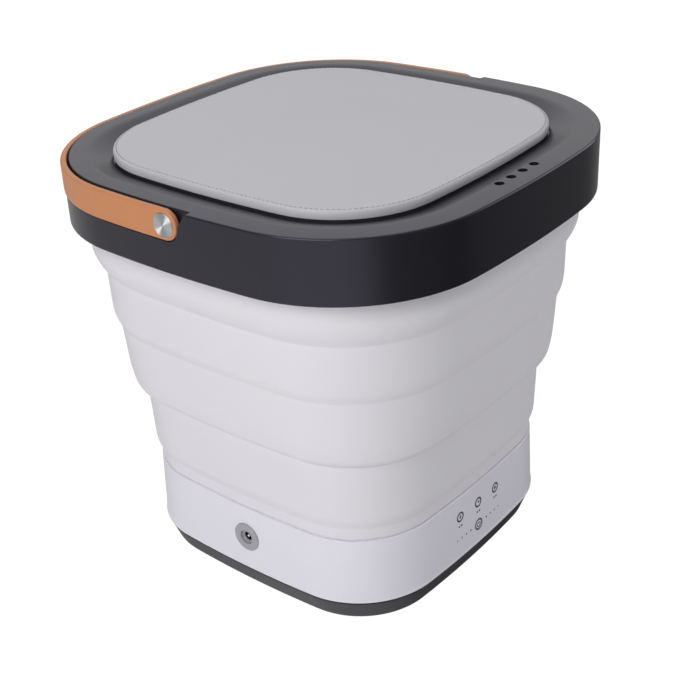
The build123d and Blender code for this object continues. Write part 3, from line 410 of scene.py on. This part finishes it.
dress(
    moulded("solder mask", "#0E4A2A", "#125733", 0.35, 0.9 * MM, 0.01 * MM, Coat_Weight=0.3),
    "control_board",
)
dress(moulded("moulded epoxy", "#17171A", "#222225", 0.55, 0.3 * MM, 0.01 * MM), "board_parts")
dress(
    moulded(
        "clear polycarbonate",
        "#DDE4EE",
        "#D3DBE6",
        0.15,
        0.6 * MM,
        0.002 * MM,
        Transmission_Weight=0.6,
    ),
    "indicator_leds",
)
dress(
    moulded("lead sheath", "#141415", "#1C1C1D", 0.5, 0.6 * MM, 0.01 * MM),
    "jack_lead",
    "motor_lead",
)


# Power inlet
# A grey moulded ring pressed into the housing, sunk in the middle round a black socket with a
# nickel-plated pin. Its nut clamps it from inside.

JACK_FACE = -124.03
JACK_HEIGHT = 46.7
JACK_AT = -3.2


def turn_inlet(name, corners):
    """A closed shape turned round the inlet's axis, from radius and depth behind its face."""
    radius, depth = corners[0]
    start = (JACK_FACE + depth, JACK_AT, JACK_HEIGHT + radius)
    bpy.ops.object.select_all(action="DESELECT")
    bpy.ops.mesh.primitive_plane_add(size=MM, location=Vector(start) * MM)
    piece = bpy.context.object
    piece.name = name
    bpy.ops.object.transform_apply(location=True)
    bpy.ops.object.mode_set(mode="EDIT")
    bpy.ops.mesh.merge(type="CENTER")
    for here, there in zip(corners, corners[1:] + corners[:1]):
        step = ((there[1] - here[1]) * MM, 0, (there[0] - here[0]) * MM)
        bpy.ops.mesh.extrude_region_move(TRANSFORM_OT_translate={"value": step})
    bpy.ops.mesh.select_all(action="SELECT")
    bpy.ops.mesh.remove_doubles(threshold=0.001 * MM)
    bpy.ops.mesh.spin(
        steps=64, angle=2 * pi, center=(0, JACK_AT * MM, JACK_HEIGHT * MM), axis=(1, 0, 0)
    )
    return settle(piece)


inlet_ring = turn_inlet(
    "inlet_ring",
    [
        (3.6, 2.2),
        (5.4, 2.2),
        (5.6, 2.0),
        (5.6, 0.2),
        (5.8, 0.0),
        (10.9, 0.0),
        (11.2, 0.3),
        (11.2, 1.9),
        (7.0, 1.9),
        (7.0, 13.0),
        (5.7, 13.0),
        (5.7, 3.2),
        (3.6, 3.2),
    ],
)
# The ring has a soft gloss. The socket is black enough to read as a hole, with one bright point
# on the plated pin.
grey_abs = moulded("grey ABS", "#A2A2A8", "#A8A8AE", 0.35, 0.5 * MM, 0.006 * MM)
finish_piece(inlet_ring, grey_abs, "base", "jack_grey", "jack_bezel")
inlet_socket = turn_inlet(
    "inlet_socket", [(3.4, 3.2), (5.6, 3.2), (5.6, 17.0), (1.3, 17.0), (1.3, 10.4), (3.4, 10.4)]
)
black_abs = moulded("black ABS", "#121214", "#1A1A1C", 0.35, 0.5 * MM, 0.006 * MM)
finish_piece(inlet_socket, black_abs, "base", "jack_black", "jack_socket")
dress(black_abs, "jack_nut")
dress(metal("nickel plate", "#D8D7D2", "#CFCDC6", 0.15, 0.4 * MM), "jack_pin")


# Base housing
# A glossy shell with a slight draft, injection-moulded in bluish white ABS, open for the tub.
# Its top and bottom edges are rounded, and the inlet's ring sits in a shallow seat on the left.

HOUSING_TOP = 72.0
OPENING_HALF = 100.0
SHELF_BOTTOM = 69.5
SEAT_RADIUS = 11.35
SEAT_AT = -122.2
NECK_HOLE = 7.1

housing = ring(
    "housing_shell",
    [
        (123.9, PAN_TOP, 0.3),
        (124.5, 20.5, 0.3),
        (124.5, 21.2, 0.2),
        (123.9, 22.5, 0.2),
        (122.3, HOUSING_TOP, 0.8),
        (OPENING_HALF, HOUSING_TOP, 0.4),
        (OPENING_HALF, SHELF_BOTTOM, 0),
        (119.8, SHELF_BOTTOM, 0),
        (121.4, PAN_TOP, 0),
    ],
)
drill(housing, SEAT_RADIUS, (-130.0, JACK_AT, JACK_HEIGHT), (SEAT_AT, JACK_AT, JACK_HEIGHT))
drill(housing, NECK_HOLE, (-130.0, JACK_AT, JACK_HEIGHT), (-110.0, JACK_AT, JACK_HEIGHT))
even_out(housing)
# A polished tool leaves a smooth gloss with wide highlights, and the white has a bluish cast.
gloss_white = moulded("bluish white ABS", "#E9E7F1", "#EBE9F3", 0.3, 0.5 * MM, 0.002 * MM)
finish_piece(housing, gloss_white, "base", "housing_white", "base_housing")


# Key marks
# Four touch keys behind the housing's wall are shown by rings with small signs, with a row of
# dots to each side of the lowest. They are pad-printed in grey inks, which dry thin and dull.

KEY_PITCH = 23.0
KEY_HEIGHT = 55.1
DASH_HEIGHT = 47.2
POWER_HEIGHT = 35.7
MIDDLE = -0.7
# Half-width at which the marks are drawn, before they are laid on the wall
DRAWN_AT = 130.0


def stroke(x, height, width, length, lean=0):
    """A flat printed bar on the front, centred at a place, leaning by so many degrees."""
    bpy.ops.object.select_all(action="DESELECT")
    bpy.ops.mesh.primitive_plane_add(size=MM, location=(x * MM, -DRAWN_AT * MM, height * MM))
    bar = bpy.context.object
    bar.scale = (width, length, 1)
    bar.rotation_euler = (pi / 2, 0, 0)
    bpy.ops.object.transform_apply(location=False)
    bar.rotation_euler = (0, radians(lean), 0)
    bpy.ops.object.transform_apply()
    return bar


def hoop(x, height, radius, width, gap=0):
    """A flat printed ring on the front, open at its top by an angle."""
    bpy.ops.object.select_all(action="DESELECT")
    bpy.ops.mesh.primitive_circle_add(
        vertices=48,
        radius=radius * MM,
        fill_type="NGON",
        location=(x * MM, -DRAWN_AT * MM, height * MM),
    )
    loop = bpy.context.object
    loop.rotation_euler = (pi / 2, 0, 0)
    bpy.ops.object.transform_apply(location=True, rotation=True)
    bpy.ops.object.mode_set(mode="EDIT")
    bpy.ops.mesh.select_all(action="SELECT")
    bpy.ops.mesh.inset(thickness=width * MM)
    bpy.ops.mesh.delete(type="ONLY_FACE")
    mesh = bmesh.from_edit_mesh(loop.data)
    for face in list(mesh.faces):
        away = face.calc_center_median() / MM - Vector((x, -DRAWN_AT, height))
        if abs(atan2(away.x, away.z)) < radians(gap) / 2:
            mesh.faces.remove(face)
    bmesh.update_edit_mesh(loop.data)
    bpy.ops.object.mode_set(mode="OBJECT")
    return loop


def dot(x, height, radius):
    """A flat printed dot on the front."""
    bpy.ops.object.select_all(action="DESELECT")
    bpy.ops.mesh.primitive_circle_add(
        vertices=20,
        radius=radius * MM,
        fill_type="NGON",
        location=(x * MM, -DRAWN_AT * MM, height * MM),
    )
    spot = bpy.context.object
    spot.rotation_euler = (pi / 2, 0, 0)
    bpy.ops.object.transform_apply(location=True, rotation=True)
    return spot


def print_on_housing(name, parts, stuff):
    """Joins flat marks, lays them on the housing's wall and gives them the ink's thickness."""
    bpy.ops.object.select_all(action="DESELECT")
    for part in parts:
        part.select_set(True)
    bpy.context.view_layer.objects.active = parts[0]
    bpy.ops.object.join()
    marks = bpy.context.object
    marks.name = name
    modify(
        marks,
        "SHRINKWRAP",
        target=housing,
        wrap_method="PROJECT",
        use_project_y=True,
        use_positive_direction=True,
        offset=0.03 * MM,
    )
    modify(marks, "SOLIDIFY", thickness=0.05 * MM, offset=-1)
    finish_piece(marks, stuff, "base", "board_black")


# Three plain keys, each over two dashes, marked by a bar, two clock hands and a star
key_parts = []
for k in (-1, 0, 1):
    x = MIDDLE + k * KEY_PITCH
    key_parts.append(hoop(x, KEY_HEIGHT, 4.25, 1.45))
    key_parts.append(stroke(x - 1.4, DASH_HEIGHT, 1.9, 1.4))
    key_parts.append(stroke(x + 1.4, DASH_HEIGHT, 1.9, 1.4))
key_parts.append(stroke(MIDDLE - KEY_PITCH, KEY_HEIGHT, 1.5, 3.4))
key_parts.append(stroke(MIDDLE, KEY_HEIGHT + 0.8, 1.0, 2.2))
key_parts.append(stroke(MIDDLE + 0.7, KEY_HEIGHT - 0.1, 2.0, 1.0))
for lean in (0, 60, 120):
    key_parts.append(stroke(MIDDLE + KEY_PITCH, KEY_HEIGHT, 0.9, 3.4, lean))
# The power key: a ring round a smaller open ring with a bar in its gap
key_parts.append(hoop(MIDDLE, POWER_HEIGHT, 4.9, 1.5))
key_parts.append(hoop(MIDDLE, POWER_HEIGHT - 0.2, 2.4, 0.95, gap=70))
key_parts.append(stroke(MIDDLE, POWER_HEIGHT + 1.3, 0.9, 2.0))
grey_ink = moulded("grey printing ink", "#4E4C53", "#54525A", 0.5, 0.3 * MM, 0.001 * MM)
print_on_housing("key_marks", key_parts, grey_ink)
dots = [
    dot(MIDDLE + side * (10.4 + 5.6 * k), POWER_HEIGHT + 0.5, 0.95 - 0.1 * k)
    for k in range(4)
    for side in (-1, 1)
]
pale_ink = moulded("pale grey printing ink", "#6B6971", "#727078", 0.5, 0.3 * MM, 0.001 * MM)
print_on_housing("row_dots", dots, pale_ink)


# Soft tub
# One moulding of matt white thermoplastic rubber, 2.2 mm thick, with four pleats that fold inside
# one another. Its lower flange lies on the housing and its upper one hangs from the rim.

TUB_TOP = 284.0
TUB_WALL = 2.2

tub = draw_section(
    "soft_tub",
    [
        (108.6, HOUSING_TOP, 0),
        (120.2, HOUSING_TOP, 0.3),
        (120.4, 72.8, 0.3),
        (121.6, 73.6, 0.5),
        (121.7, 82.5, 0.8),
        (124.9, 90.0, 3.2),
        (126.9, 136.0, 0.5),
        (134.6, 142.0, 4.0),
        (137.2, 155.0, 5.0),
        (139.9, 192.0, 0.4),
        (143.6, 199.0, 3.4),
        (144.3, 206.0, 3.0),
        (145.0, 236.0, 0.6),
        (150.0, 243.0, 4.0),
        (153.8, 254.0, 4.5),
        (149.3, 267.0, 4.5),
        (149.3, TUB_TOP, 0.8),
        (138.0, TUB_TOP, 0),
    ],
    closed=False,
)
spin_outline(4, 6, 20)
settle(tub, 60)
modify(tub, "SOLIDIFY", thickness=TUB_WALL * MM, offset=-1)
# The rubber is matt with a fine grain, so the pleats show as soft shades without highlights.
rubber_white = moulded(
    "white thermoplastic rubber", "#E7E5EB", "#EAE8ED", 0.55, 0.8 * MM, 0.008 * MM
)
finish_piece(tub, rubber_white, "base", "soft_white", "bellows")
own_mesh(tub)


# Tub floor and impeller
# Injection-moulded polypropylene with a soft shine, white for the floor that carries the shaft's
# hub and for the ring that clamps the tub, and pale blue for the impeller that turns in the tub.

dress(
    moulded("white polypropylene", "#E2E3E4", "#E7E8E9", 0.35, 1.5 * MM, 0.004 * MM),
    "tub_floor",
    "rim_under_ring",
)
dress(
    moulded("pale blue polypropylene", "#D3DAE0", "#D9DFE5", 0.3, 1.5 * MM, 0.004 * MM), "impeller"
)


# Rim
# A deep dark grey ring, injection-moulded in satin ABS: a plain skirt, a flat border, a soft
# dish down to the lid and the mouth's wall. The handle lies in a recess round its back half.

PIVOT_HEIGHT = 306.4
SKIRT_BOTTOM = 273.2
RIM_TOP = 317.0
LEDGE = 311.0
MOUTH_HALF = 118.0
MOUTH_BOTTOM = 281.9
RECESS_HALF = 160.3
RECESS_BOTTOM = 294.0
RECESS_END = 11.1
BEYOND = 200.0

rim = ring(
    "rim_shell",
    [
        (RIM_HALF, SKIRT_BOTTOM, 0.6),
        (RIM_HALF, 275.0, 0),
        (RIM_HALF, 293.5, 0),
        (RIM_HALF, 315.0, 0),
        (RIM_HALF, RIM_TOP, 1.1),
        (163.0, RIM_TOP, 0),
        (147.2, RIM_TOP, 3.0),
        (130.5, 312.6, 0.1),
        (131.6, LEDGE, 0),
        (MOUTH_HALF, LEDGE, 1.0),
        (MOUTH_HALF, MOUTH_BOTTOM, 0.3),
        (120.5, MOUTH_BOTTOM, 0.3),
        (120.5, 308.5, 0),
        (134.0, 308.5, 0),
        (134.0, 310.6, 0),
        (147.0, 314.5, 0),
        (158.0, 314.5, 0),
        (158.0, 293.0, 0),
        (162.5, 291.0, 0),
        (162.5, SKIRT_BOTTOM, 0.5),
    ],
)
recess = ring(
    "recess",
    [
        (RECESS_HALF, RECESS_BOTTOM, 0),
        (180.0, RECESS_BOTTOM, 0),
        (180.0, 330.0, 0),
        (159.7, 330.0, 0),
        (159.7, 317.1, 0),
        (RECESS_HALF, 316.1, 0.5),
    ],
)
# The recess's reach: the back of the rim, a round end at each pivot, and a ramp up to the top
bpy.ops.object.select_all(action="DESELECT")
bpy.ops.mesh.primitive_circle_add(
    vertices=64,
    radius=RECESS_END * MM,
    location=(-BEYOND * MM, 0, PIVOT_HEIGHT * MM),
    rotation=(pi / 2, 0, pi / 2),
)
reach = bpy.context.object
bpy.ops.object.transform_apply(location=True, rotation=True)
bpy.ops.object.mode_set(mode="EDIT")
pick(reach, lambda at: at.y > 0.1 or (at.z > PIVOT_HEIGHT + 0.1))
bpy.ops.mesh.delete(type="VERT")
pick(reach, lambda at: abs(at.z - PIVOT_HEIGHT) < 0.1)
for step_y, step_z in (
    (-0.3, 0),
    (-0.6, 0.6),
    (-1.4, 1.8),
    (-2.0, 2.2),
    (-1.7, 2.2),
    (-2.6, 2.9),
    (-4.4, 1.3),
    (0, 14.0),
    (230.0, 0),
):
    bpy.ops.mesh.extrude_region_move(
        TRANSFORM_OT_translate={"value": (0, step_y * MM, step_z * MM)}
    )
pick(reach, lambda at: at.z < PIVOT_HEIGHT - RECESS_END + 0.05)
bpy.ops.mesh.extrude_region_move(TRANSFORM_OT_translate={"value": (0, 206.0 * MM, 0)})
bpy.ops.mesh.select_all(action="SELECT")
bpy.ops.mesh.edge_face_add()
bpy.ops.mesh.extrude_region_move(TRANSFORM_OT_translate={"value": (2 * BEYOND * MM, 0, 0)})
settle(reach)
cut(recess, reach, "INTERSECT")
# The ramp is steeper on its inner side.
bpy.ops.object.mode_set(mode="EDIT")
pick(recess, lambda at: at.y < -RECESS_END + 0.05 and abs(at.x) < RECESS_HALF + 0.7)
bpy.ops.transform.resize(value=(1, 0.6, 1), center_override=(0, -11 * MM, 0))
bpy.ops.object.mode_set(mode="OBJECT")
cut(rim, recess)
VENTS = 4
VENT_PITCH = 13.7
VENT_RADIUS = 3.3
VENT_HALF = 149.7
for k in range(VENTS):
    x = (k - (VENTS - 1) / 2) * VENT_PITCH
    drill(rim, VENT_RADIUS, (x, -VENT_HALF, 312.5), (x, -VENT_HALF, 320.0))
# The satin spreads the lamps into wide, soft bands, a little cool in hue.
satin_rim = moulded(
    "dark grey satin ABS",
    "#1E1D22",
    "#212025",
    0.24,
    0.5 * MM,
    0.002 * MM,
    Specular_Tint=paint("#E9E6FF"),
)
finish_piece(rim, satin_rim, "rim", "rim_grey", "top_rim")


# Handle
# A band injection-moulded in tan nylon with rounded edges and round ends, sprung over the pivots.
# It lies round the back half of the rim, proud of it by a millimetre.

STRAP_OUTER = 166.0
STRAP_INNER = 161.6
STRAP_TOP = 316.8
STRAP_BOTTOM = 296.0
STRAP_DROOP = 0.2
HEAD_SEAT = 8.35
HEAD_SEAT_AT = 164.4
SHOULDER_HOLE = 3.1

strap = draw_section(
    "strap",
    [
        (STRAP_OUTER, PIVOT_HEIGHT, 0),
        (STRAP_OUTER, STRAP_TOP, 1.5),
        (STRAP_INNER, STRAP_TOP, 1.0),
        (STRAP_INNER, PIVOT_HEIGHT, 0),
        (STRAP_INNER, STRAP_BOTTOM, 1.0),
        (STRAP_OUTER, STRAP_BOTTOM, 1.5),
    ],
    closed=True,
)
spin_outline(2, 6, 20)
bpy.ops.object.mode_set(mode="OBJECT")
strap.rotation_euler = (0, 0, -pi / 2)
bpy.ops.object.transform_apply(rotation=True)
bpy.ops.object.mode_set(mode="EDIT")
for side in (-1, 1):
    pick(
        strap,
        lambda at: abs(at.y) < 0.001 and at.z > PIVOT_HEIGHT - 0.001 and at.x * side > 0,
    )
    bpy.ops.mesh.spin(
        steps=24, angle=pi, center=(0, 0, PIVOT_HEIGHT * MM), axis=(-1, 0, 0)
    )
# The band droops by a fraction of a degree towards the back.
bpy.ops.mesh.select_all(action="SELECT")
bpy.ops.transform.rotate(
    value=radians(STRAP_DROOP), orient_axis="X", center_override=(0, 0, PIVOT_HEIGHT * MM)
)
settle(strap)
for side in (-1, 1):
    outside = (side * 170.0, 0, PIVOT_HEIGHT)
    drill(strap, HEAD_SEAT, (side * HEAD_SEAT_AT, 0, PIVOT_HEIGHT), outside)
    drill(strap, SHOULDER_HOLE, (side * 155.0, 0, PIVOT_HEIGHT), outside)
even_out(strap)
# A fine satin gives the warm tan one soft, even sheen along the band.
tan_nylon = moulded("tan nylon, fine satin", "#CA8557", "#CE8A5D", 0.42, 0.5 * MM, 0.01 * MM)
finish_piece(strap, tan_nylon, "handle", "handle_tan", "handle")


# Pivot heads
# Stainless shoulder screws with broad flat heads, faced on a lathe: the tool leaves fine rings
# that draw the light out into a bright fan on each side of the middle.

turned = bpy.data.materials.new("turned stainless steel")
turned.use_nodes = True
tree = turned.node_tree
tree.nodes.clear()
place = add(tree, "ShaderNodeTexCoord")
centred = add(
    tree,
    "ShaderNodeMapping",
    {"Vector": (place, "Object"), "Location": (0, 0, -PIVOT_HEIGHT * MM), "Scale": (0, 1, 1)},
)
# The drawn rings are coarser than real ones, so that they show.
RING_PITCH = 0.35
rings = add(
    tree,
    "ShaderNodeTexWave",
    {
        "Vector": (centred, "Vector"),
        "Scale": 1 / (RING_PITCH * MM * 20),
        "Distortion": 0.4,
        "Detail": 2.0,
    },
    wave_type="RINGS",
    rings_direction="X",
)
relief = add(
    tree, "ShaderNodeBump", {"Height": (rings, "Fac"), "Distance": 0.01 * MM, "Strength": 1.0}
)
fan = add(tree, "ShaderNodeTangent", direction_type="RADIAL", axis="X")
shader = add(
    tree,
    "ShaderNodeBsdfPrincipled",
    {
        "Base Color": paint("#D3D4D6"),
        "Metallic": 1.0,
        "Roughness": 0.5,
        "Anisotropic": 0.95,
        "Anisotropic Rotation": 0.25,
        "Normal": (relief, "Normal"),
        "Tangent": (fan, "Tangent"),
    },
)
add(tree, "ShaderNodeOutputMaterial", {"Surface": (shader, "BSDF")})
dress(turned, "pivot_screws")


# Lid
# A moulded plate with a foam pad under grey leatherette, which is wrapped round the edge, glued
# below, and sewn through a few millimetres in with a matching thread.

STITCH_LINE = 127.6
LID_HALF = 130.0
LID_TOP = 320.2
LID_MIDDLE = 70.0
COVER_WALL = 1.2

# Under the cover, the plate is a plain dark satin, and the foam is pale and quite dull.
dress(
    moulded("dark grey polypropylene", "#2B2B2D", "#303032", 0.4, 0.6 * MM, 0.008 * MM),
    "lid_plate",
)
dress(moulded("closed-cell foam", "#CFCFCF", "#D8D8D8", 0.9, 0.8 * MM, 0.15 * MM), "lid_pad")

cover = draw_section(
    "lid_leatherette",
    [
        (127.9, 313.6, 0),
        (129.8, 313.8, 0.7),
        (LID_HALF, 315.4, 0.8),
        (LID_HALF, 317.6, 1.2),
        (129.3, 319.3, 0.6),
        (STITCH_LINE + 0.6, LID_TOP - 0.2, 0.3),
        (STITCH_LINE, LID_TOP - 0.55, 0.25),
        (STITCH_LINE - 0.7, LID_TOP, 0.4),
        (124.0, LID_TOP, 0),
        (110.0, LID_TOP, 0),
        (LID_MIDDLE, LID_TOP, 0),
    ],
    closed=False,
)
spin_outline(4, 6, 20)
settle(cover)
cap(cover, LID_MIDDLE, LID_TOP)
modify(cover, "SOLIDIFY", thickness=COVER_WALL * MM, offset=-1)
# Leatherette has a low, even sheen, broken by a fine pressed grain.
leatherette = moulded("grey leatherette", "#C9C8CD", "#CDCCD1", 0.5, 0.8 * MM, 0.03 * MM)
finish_piece(cover, leatherette, "lid", "lid_grey", "lid_cover")

# One stitch in the middle of the front, carried round in even steps
bpy.ops.object.select_all(action="DESELECT")
bpy.ops.mesh.primitive_uv_sphere_add(
    segments=8, ring_count=5, radius=MM, location=(0, -STITCH_LINE * MM, (LID_TOP - 0.2) * MM)
)
stitches = bpy.context.object
stitches.name = "lid_stitches"
stitches.scale = (1.2, 0.36, 0.3)
bpy.ops.object.transform_apply(location=True, scale=True)
bpy.ops.object.mode_set(mode="EDIT")
bpy.ops.mesh.select_all(action="SELECT")
spin_outline(4, 18, 29, copies=True)
bpy.ops.mesh.select_all(action="SELECT")
bpy.ops.mesh.normals_make_consistent(inside=False)
bpy.ops.object.mode_set(mode="OBJECT")
bpy.ops.object.shade_smooth()
# Bonded thread is dull and a shade darker than the cover, so the seam reads as fine dashes.
thread = moulded("bonded thread", "#ACACB0", "#B4B4B8", 0.6, 0.15 * MM, 0.01 * MM)
finish_piece(stitches, thread, "lid", "lid_grey")


# Studio
# A pale sweep of floor under soft lamps: a strong one from the left, a large one from behind on
# the right, one overhead and one low from the right, with an even sky between them.

# The camera stands where the photograph's did. Its target and distance are in metres.
TARGET = Vector((-0.032524, -0.024771, 0.175246))
DISTANCE = 0.935367
AZIMUTH = radians(-50.034)
ELEVATION = radians(27.891)
ROLL = radians(-2.871)
back = Vector(
    (sin(AZIMUTH) * cos(ELEVATION), -cos(AZIMUTH) * cos(ELEVATION), sin(ELEVATION))
)
right = Vector((0, 0, 1)).cross(back).normalized()
up = back.cross(right)
right, up = right * cos(ROLL) + up * sin(ROLL), up * cos(ROLL) - right * sin(ROLL)
camera_data = bpy.data.cameras.new("camera")
camera_data.lens = 68.865
camera_data.sensor_width = 36.0
camera = bpy.data.objects.new("camera", camera_data)
camera.matrix_world = Matrix.Translation(TARGET + back * DISTANCE) @ (
    Matrix((right, up, back)).transposed().to_4x4()
)
bpy.context.scene.collection.objects.link(camera)
bpy.context.scene.camera = camera


def lamp(name, spot, size, power):
    """A square soft lamp aimed at the machine's middle."""
    data = bpy.data.lights.new(name, "AREA")
    data.size = size
    data.energy = power
    made = bpy.data.objects.new(name, data)
    made.location = spot
    made.rotation_euler = (Vector(spot) - Vector((0, 0, 0.15))).to_track_quat("Z", "Y").to_euler()
    bpy.context.scene.collection.objects.link(made)


# Places and sizes in metres, powers in watts
lamp("left_lamp", (-1.9, -0.35, 1.2), 1.4, 25.5)
lamp("back_lamp", (1.72, 1.45, 2.06), 2.9, 16.0)
lamp("top_lamp", (0.0, 0.1, 2.1), 1.6, 8.5)
lamp("right_lamp", (1.9, -1.2, 0.4), 1.4, 15.0)

bpy.ops.object.select_all(action="DESELECT")
bpy.ops.mesh.primitive_plane_add(size=12.0)
floor = bpy.context.object
floor.name = "floor"
# Matt white paper, which the camera sees nearly plain white. Glossy surfaces see a painted
# reflection in it:
# emitted greys that change by the direction round the machine, in place of the bright and dark
# walls of a studio.
sweep = bpy.data.materials.new("white paper sweep")
sweep.use_nodes = True
tree = sweep.node_tree
tree.nodes.clear()
rays = add(tree, "ShaderNodeLightPath")
paper = add(tree, "ShaderNodeBsdfDiffuse", {"Color": paint("#F2F2F2")})
glow = add(tree, "ShaderNodeEmission", {"Color": paint("#FFFFFF"), "Strength": 1.1})
place = add(tree, "ShaderNodeTexCoord")
around = add(
    tree, "ShaderNodeTexGradient", {"Vector": (place, "Object")}, gradient_type="RADIAL"
)
painted_reflection_greys = add(tree, "ShaderNodeValToRGB", {"Fac": (around, "Fac")})
ramp = painted_reflection_greys.color_ramp.elements
ramp[0].position, ramp[0].color = 0.0, paint("#F8F8F8")
ramp[1].position, ramp[1].color = 1.0, paint("#F0F0F0")
for turn, shade in (
    (0.09, "#FFFFFF"),
    (0.13, "#F0F0F0"),
    (0.17, "#707070"),
    (0.3, "#383838"),
    (0.36, "#606060"),
    (0.43, "#6A6A6A"),
    (0.65, "#B0B0B0"),
    (0.89, "#D0D0D0"),
):
    ramp.new(turn).color = paint(shade)
# These greys are a painted reflection, emitted by the floor and seen by glossy rays only.
painted_reflection = add(tree, "ShaderNodeEmission", {"Color": (painted_reflection_greys, "Color")})
share = add(
    tree, "ShaderNodeMath", {0: (rays, "Is Camera Ray"), 1: 0.9}, operation="MULTIPLY"
)
plain = add(
    tree,
    "ShaderNodeMixShader",
    {0: (rays, "Is Glossy Ray"), 1: (paper, "BSDF"), 2: (painted_reflection, "Emission")},
)
mix = add(
    tree, "ShaderNodeMixShader", {0: (share, "Value"), 1: (plain, "Shader"), 2: (glow, "Emission")}
)
add(tree, "ShaderNodeOutputMaterial", {"Surface": (mix, "Shader")})
floor.data.materials.append(sweep)

# The sky is weak as a lamp, a little stronger in reflections, and white to the camera.
world = bpy.data.worlds.new("studio")
bpy.context.scene.world = world
world.use_nodes = True
tree = world.node_tree
tree.nodes.clear()
rays = add(tree, "ShaderNodeLightPath")
shine = add(
    tree,
    "ShaderNodeMath",
    {0: (rays, "Is Glossy Ray"), 1: 0.15, 2: 0.2},
    operation="MULTIPLY_ADD",
)
seen = add(
    tree,
    "ShaderNodeMath",
    {0: (rays, "Is Camera Ray"), 1: 0.85, 2: (shine, "Value")},
    operation="MULTIPLY_ADD",
)
sky = add(
    tree, "ShaderNodeBackground", {"Color": paint("#FAFAFC"), "Strength": (seen, "Value")}
)
add(tree, "ShaderNodeOutputWorld", {"Surface": (sky, "Background")})
bpy.context.scene.view_settings.view_transform = "Standard"
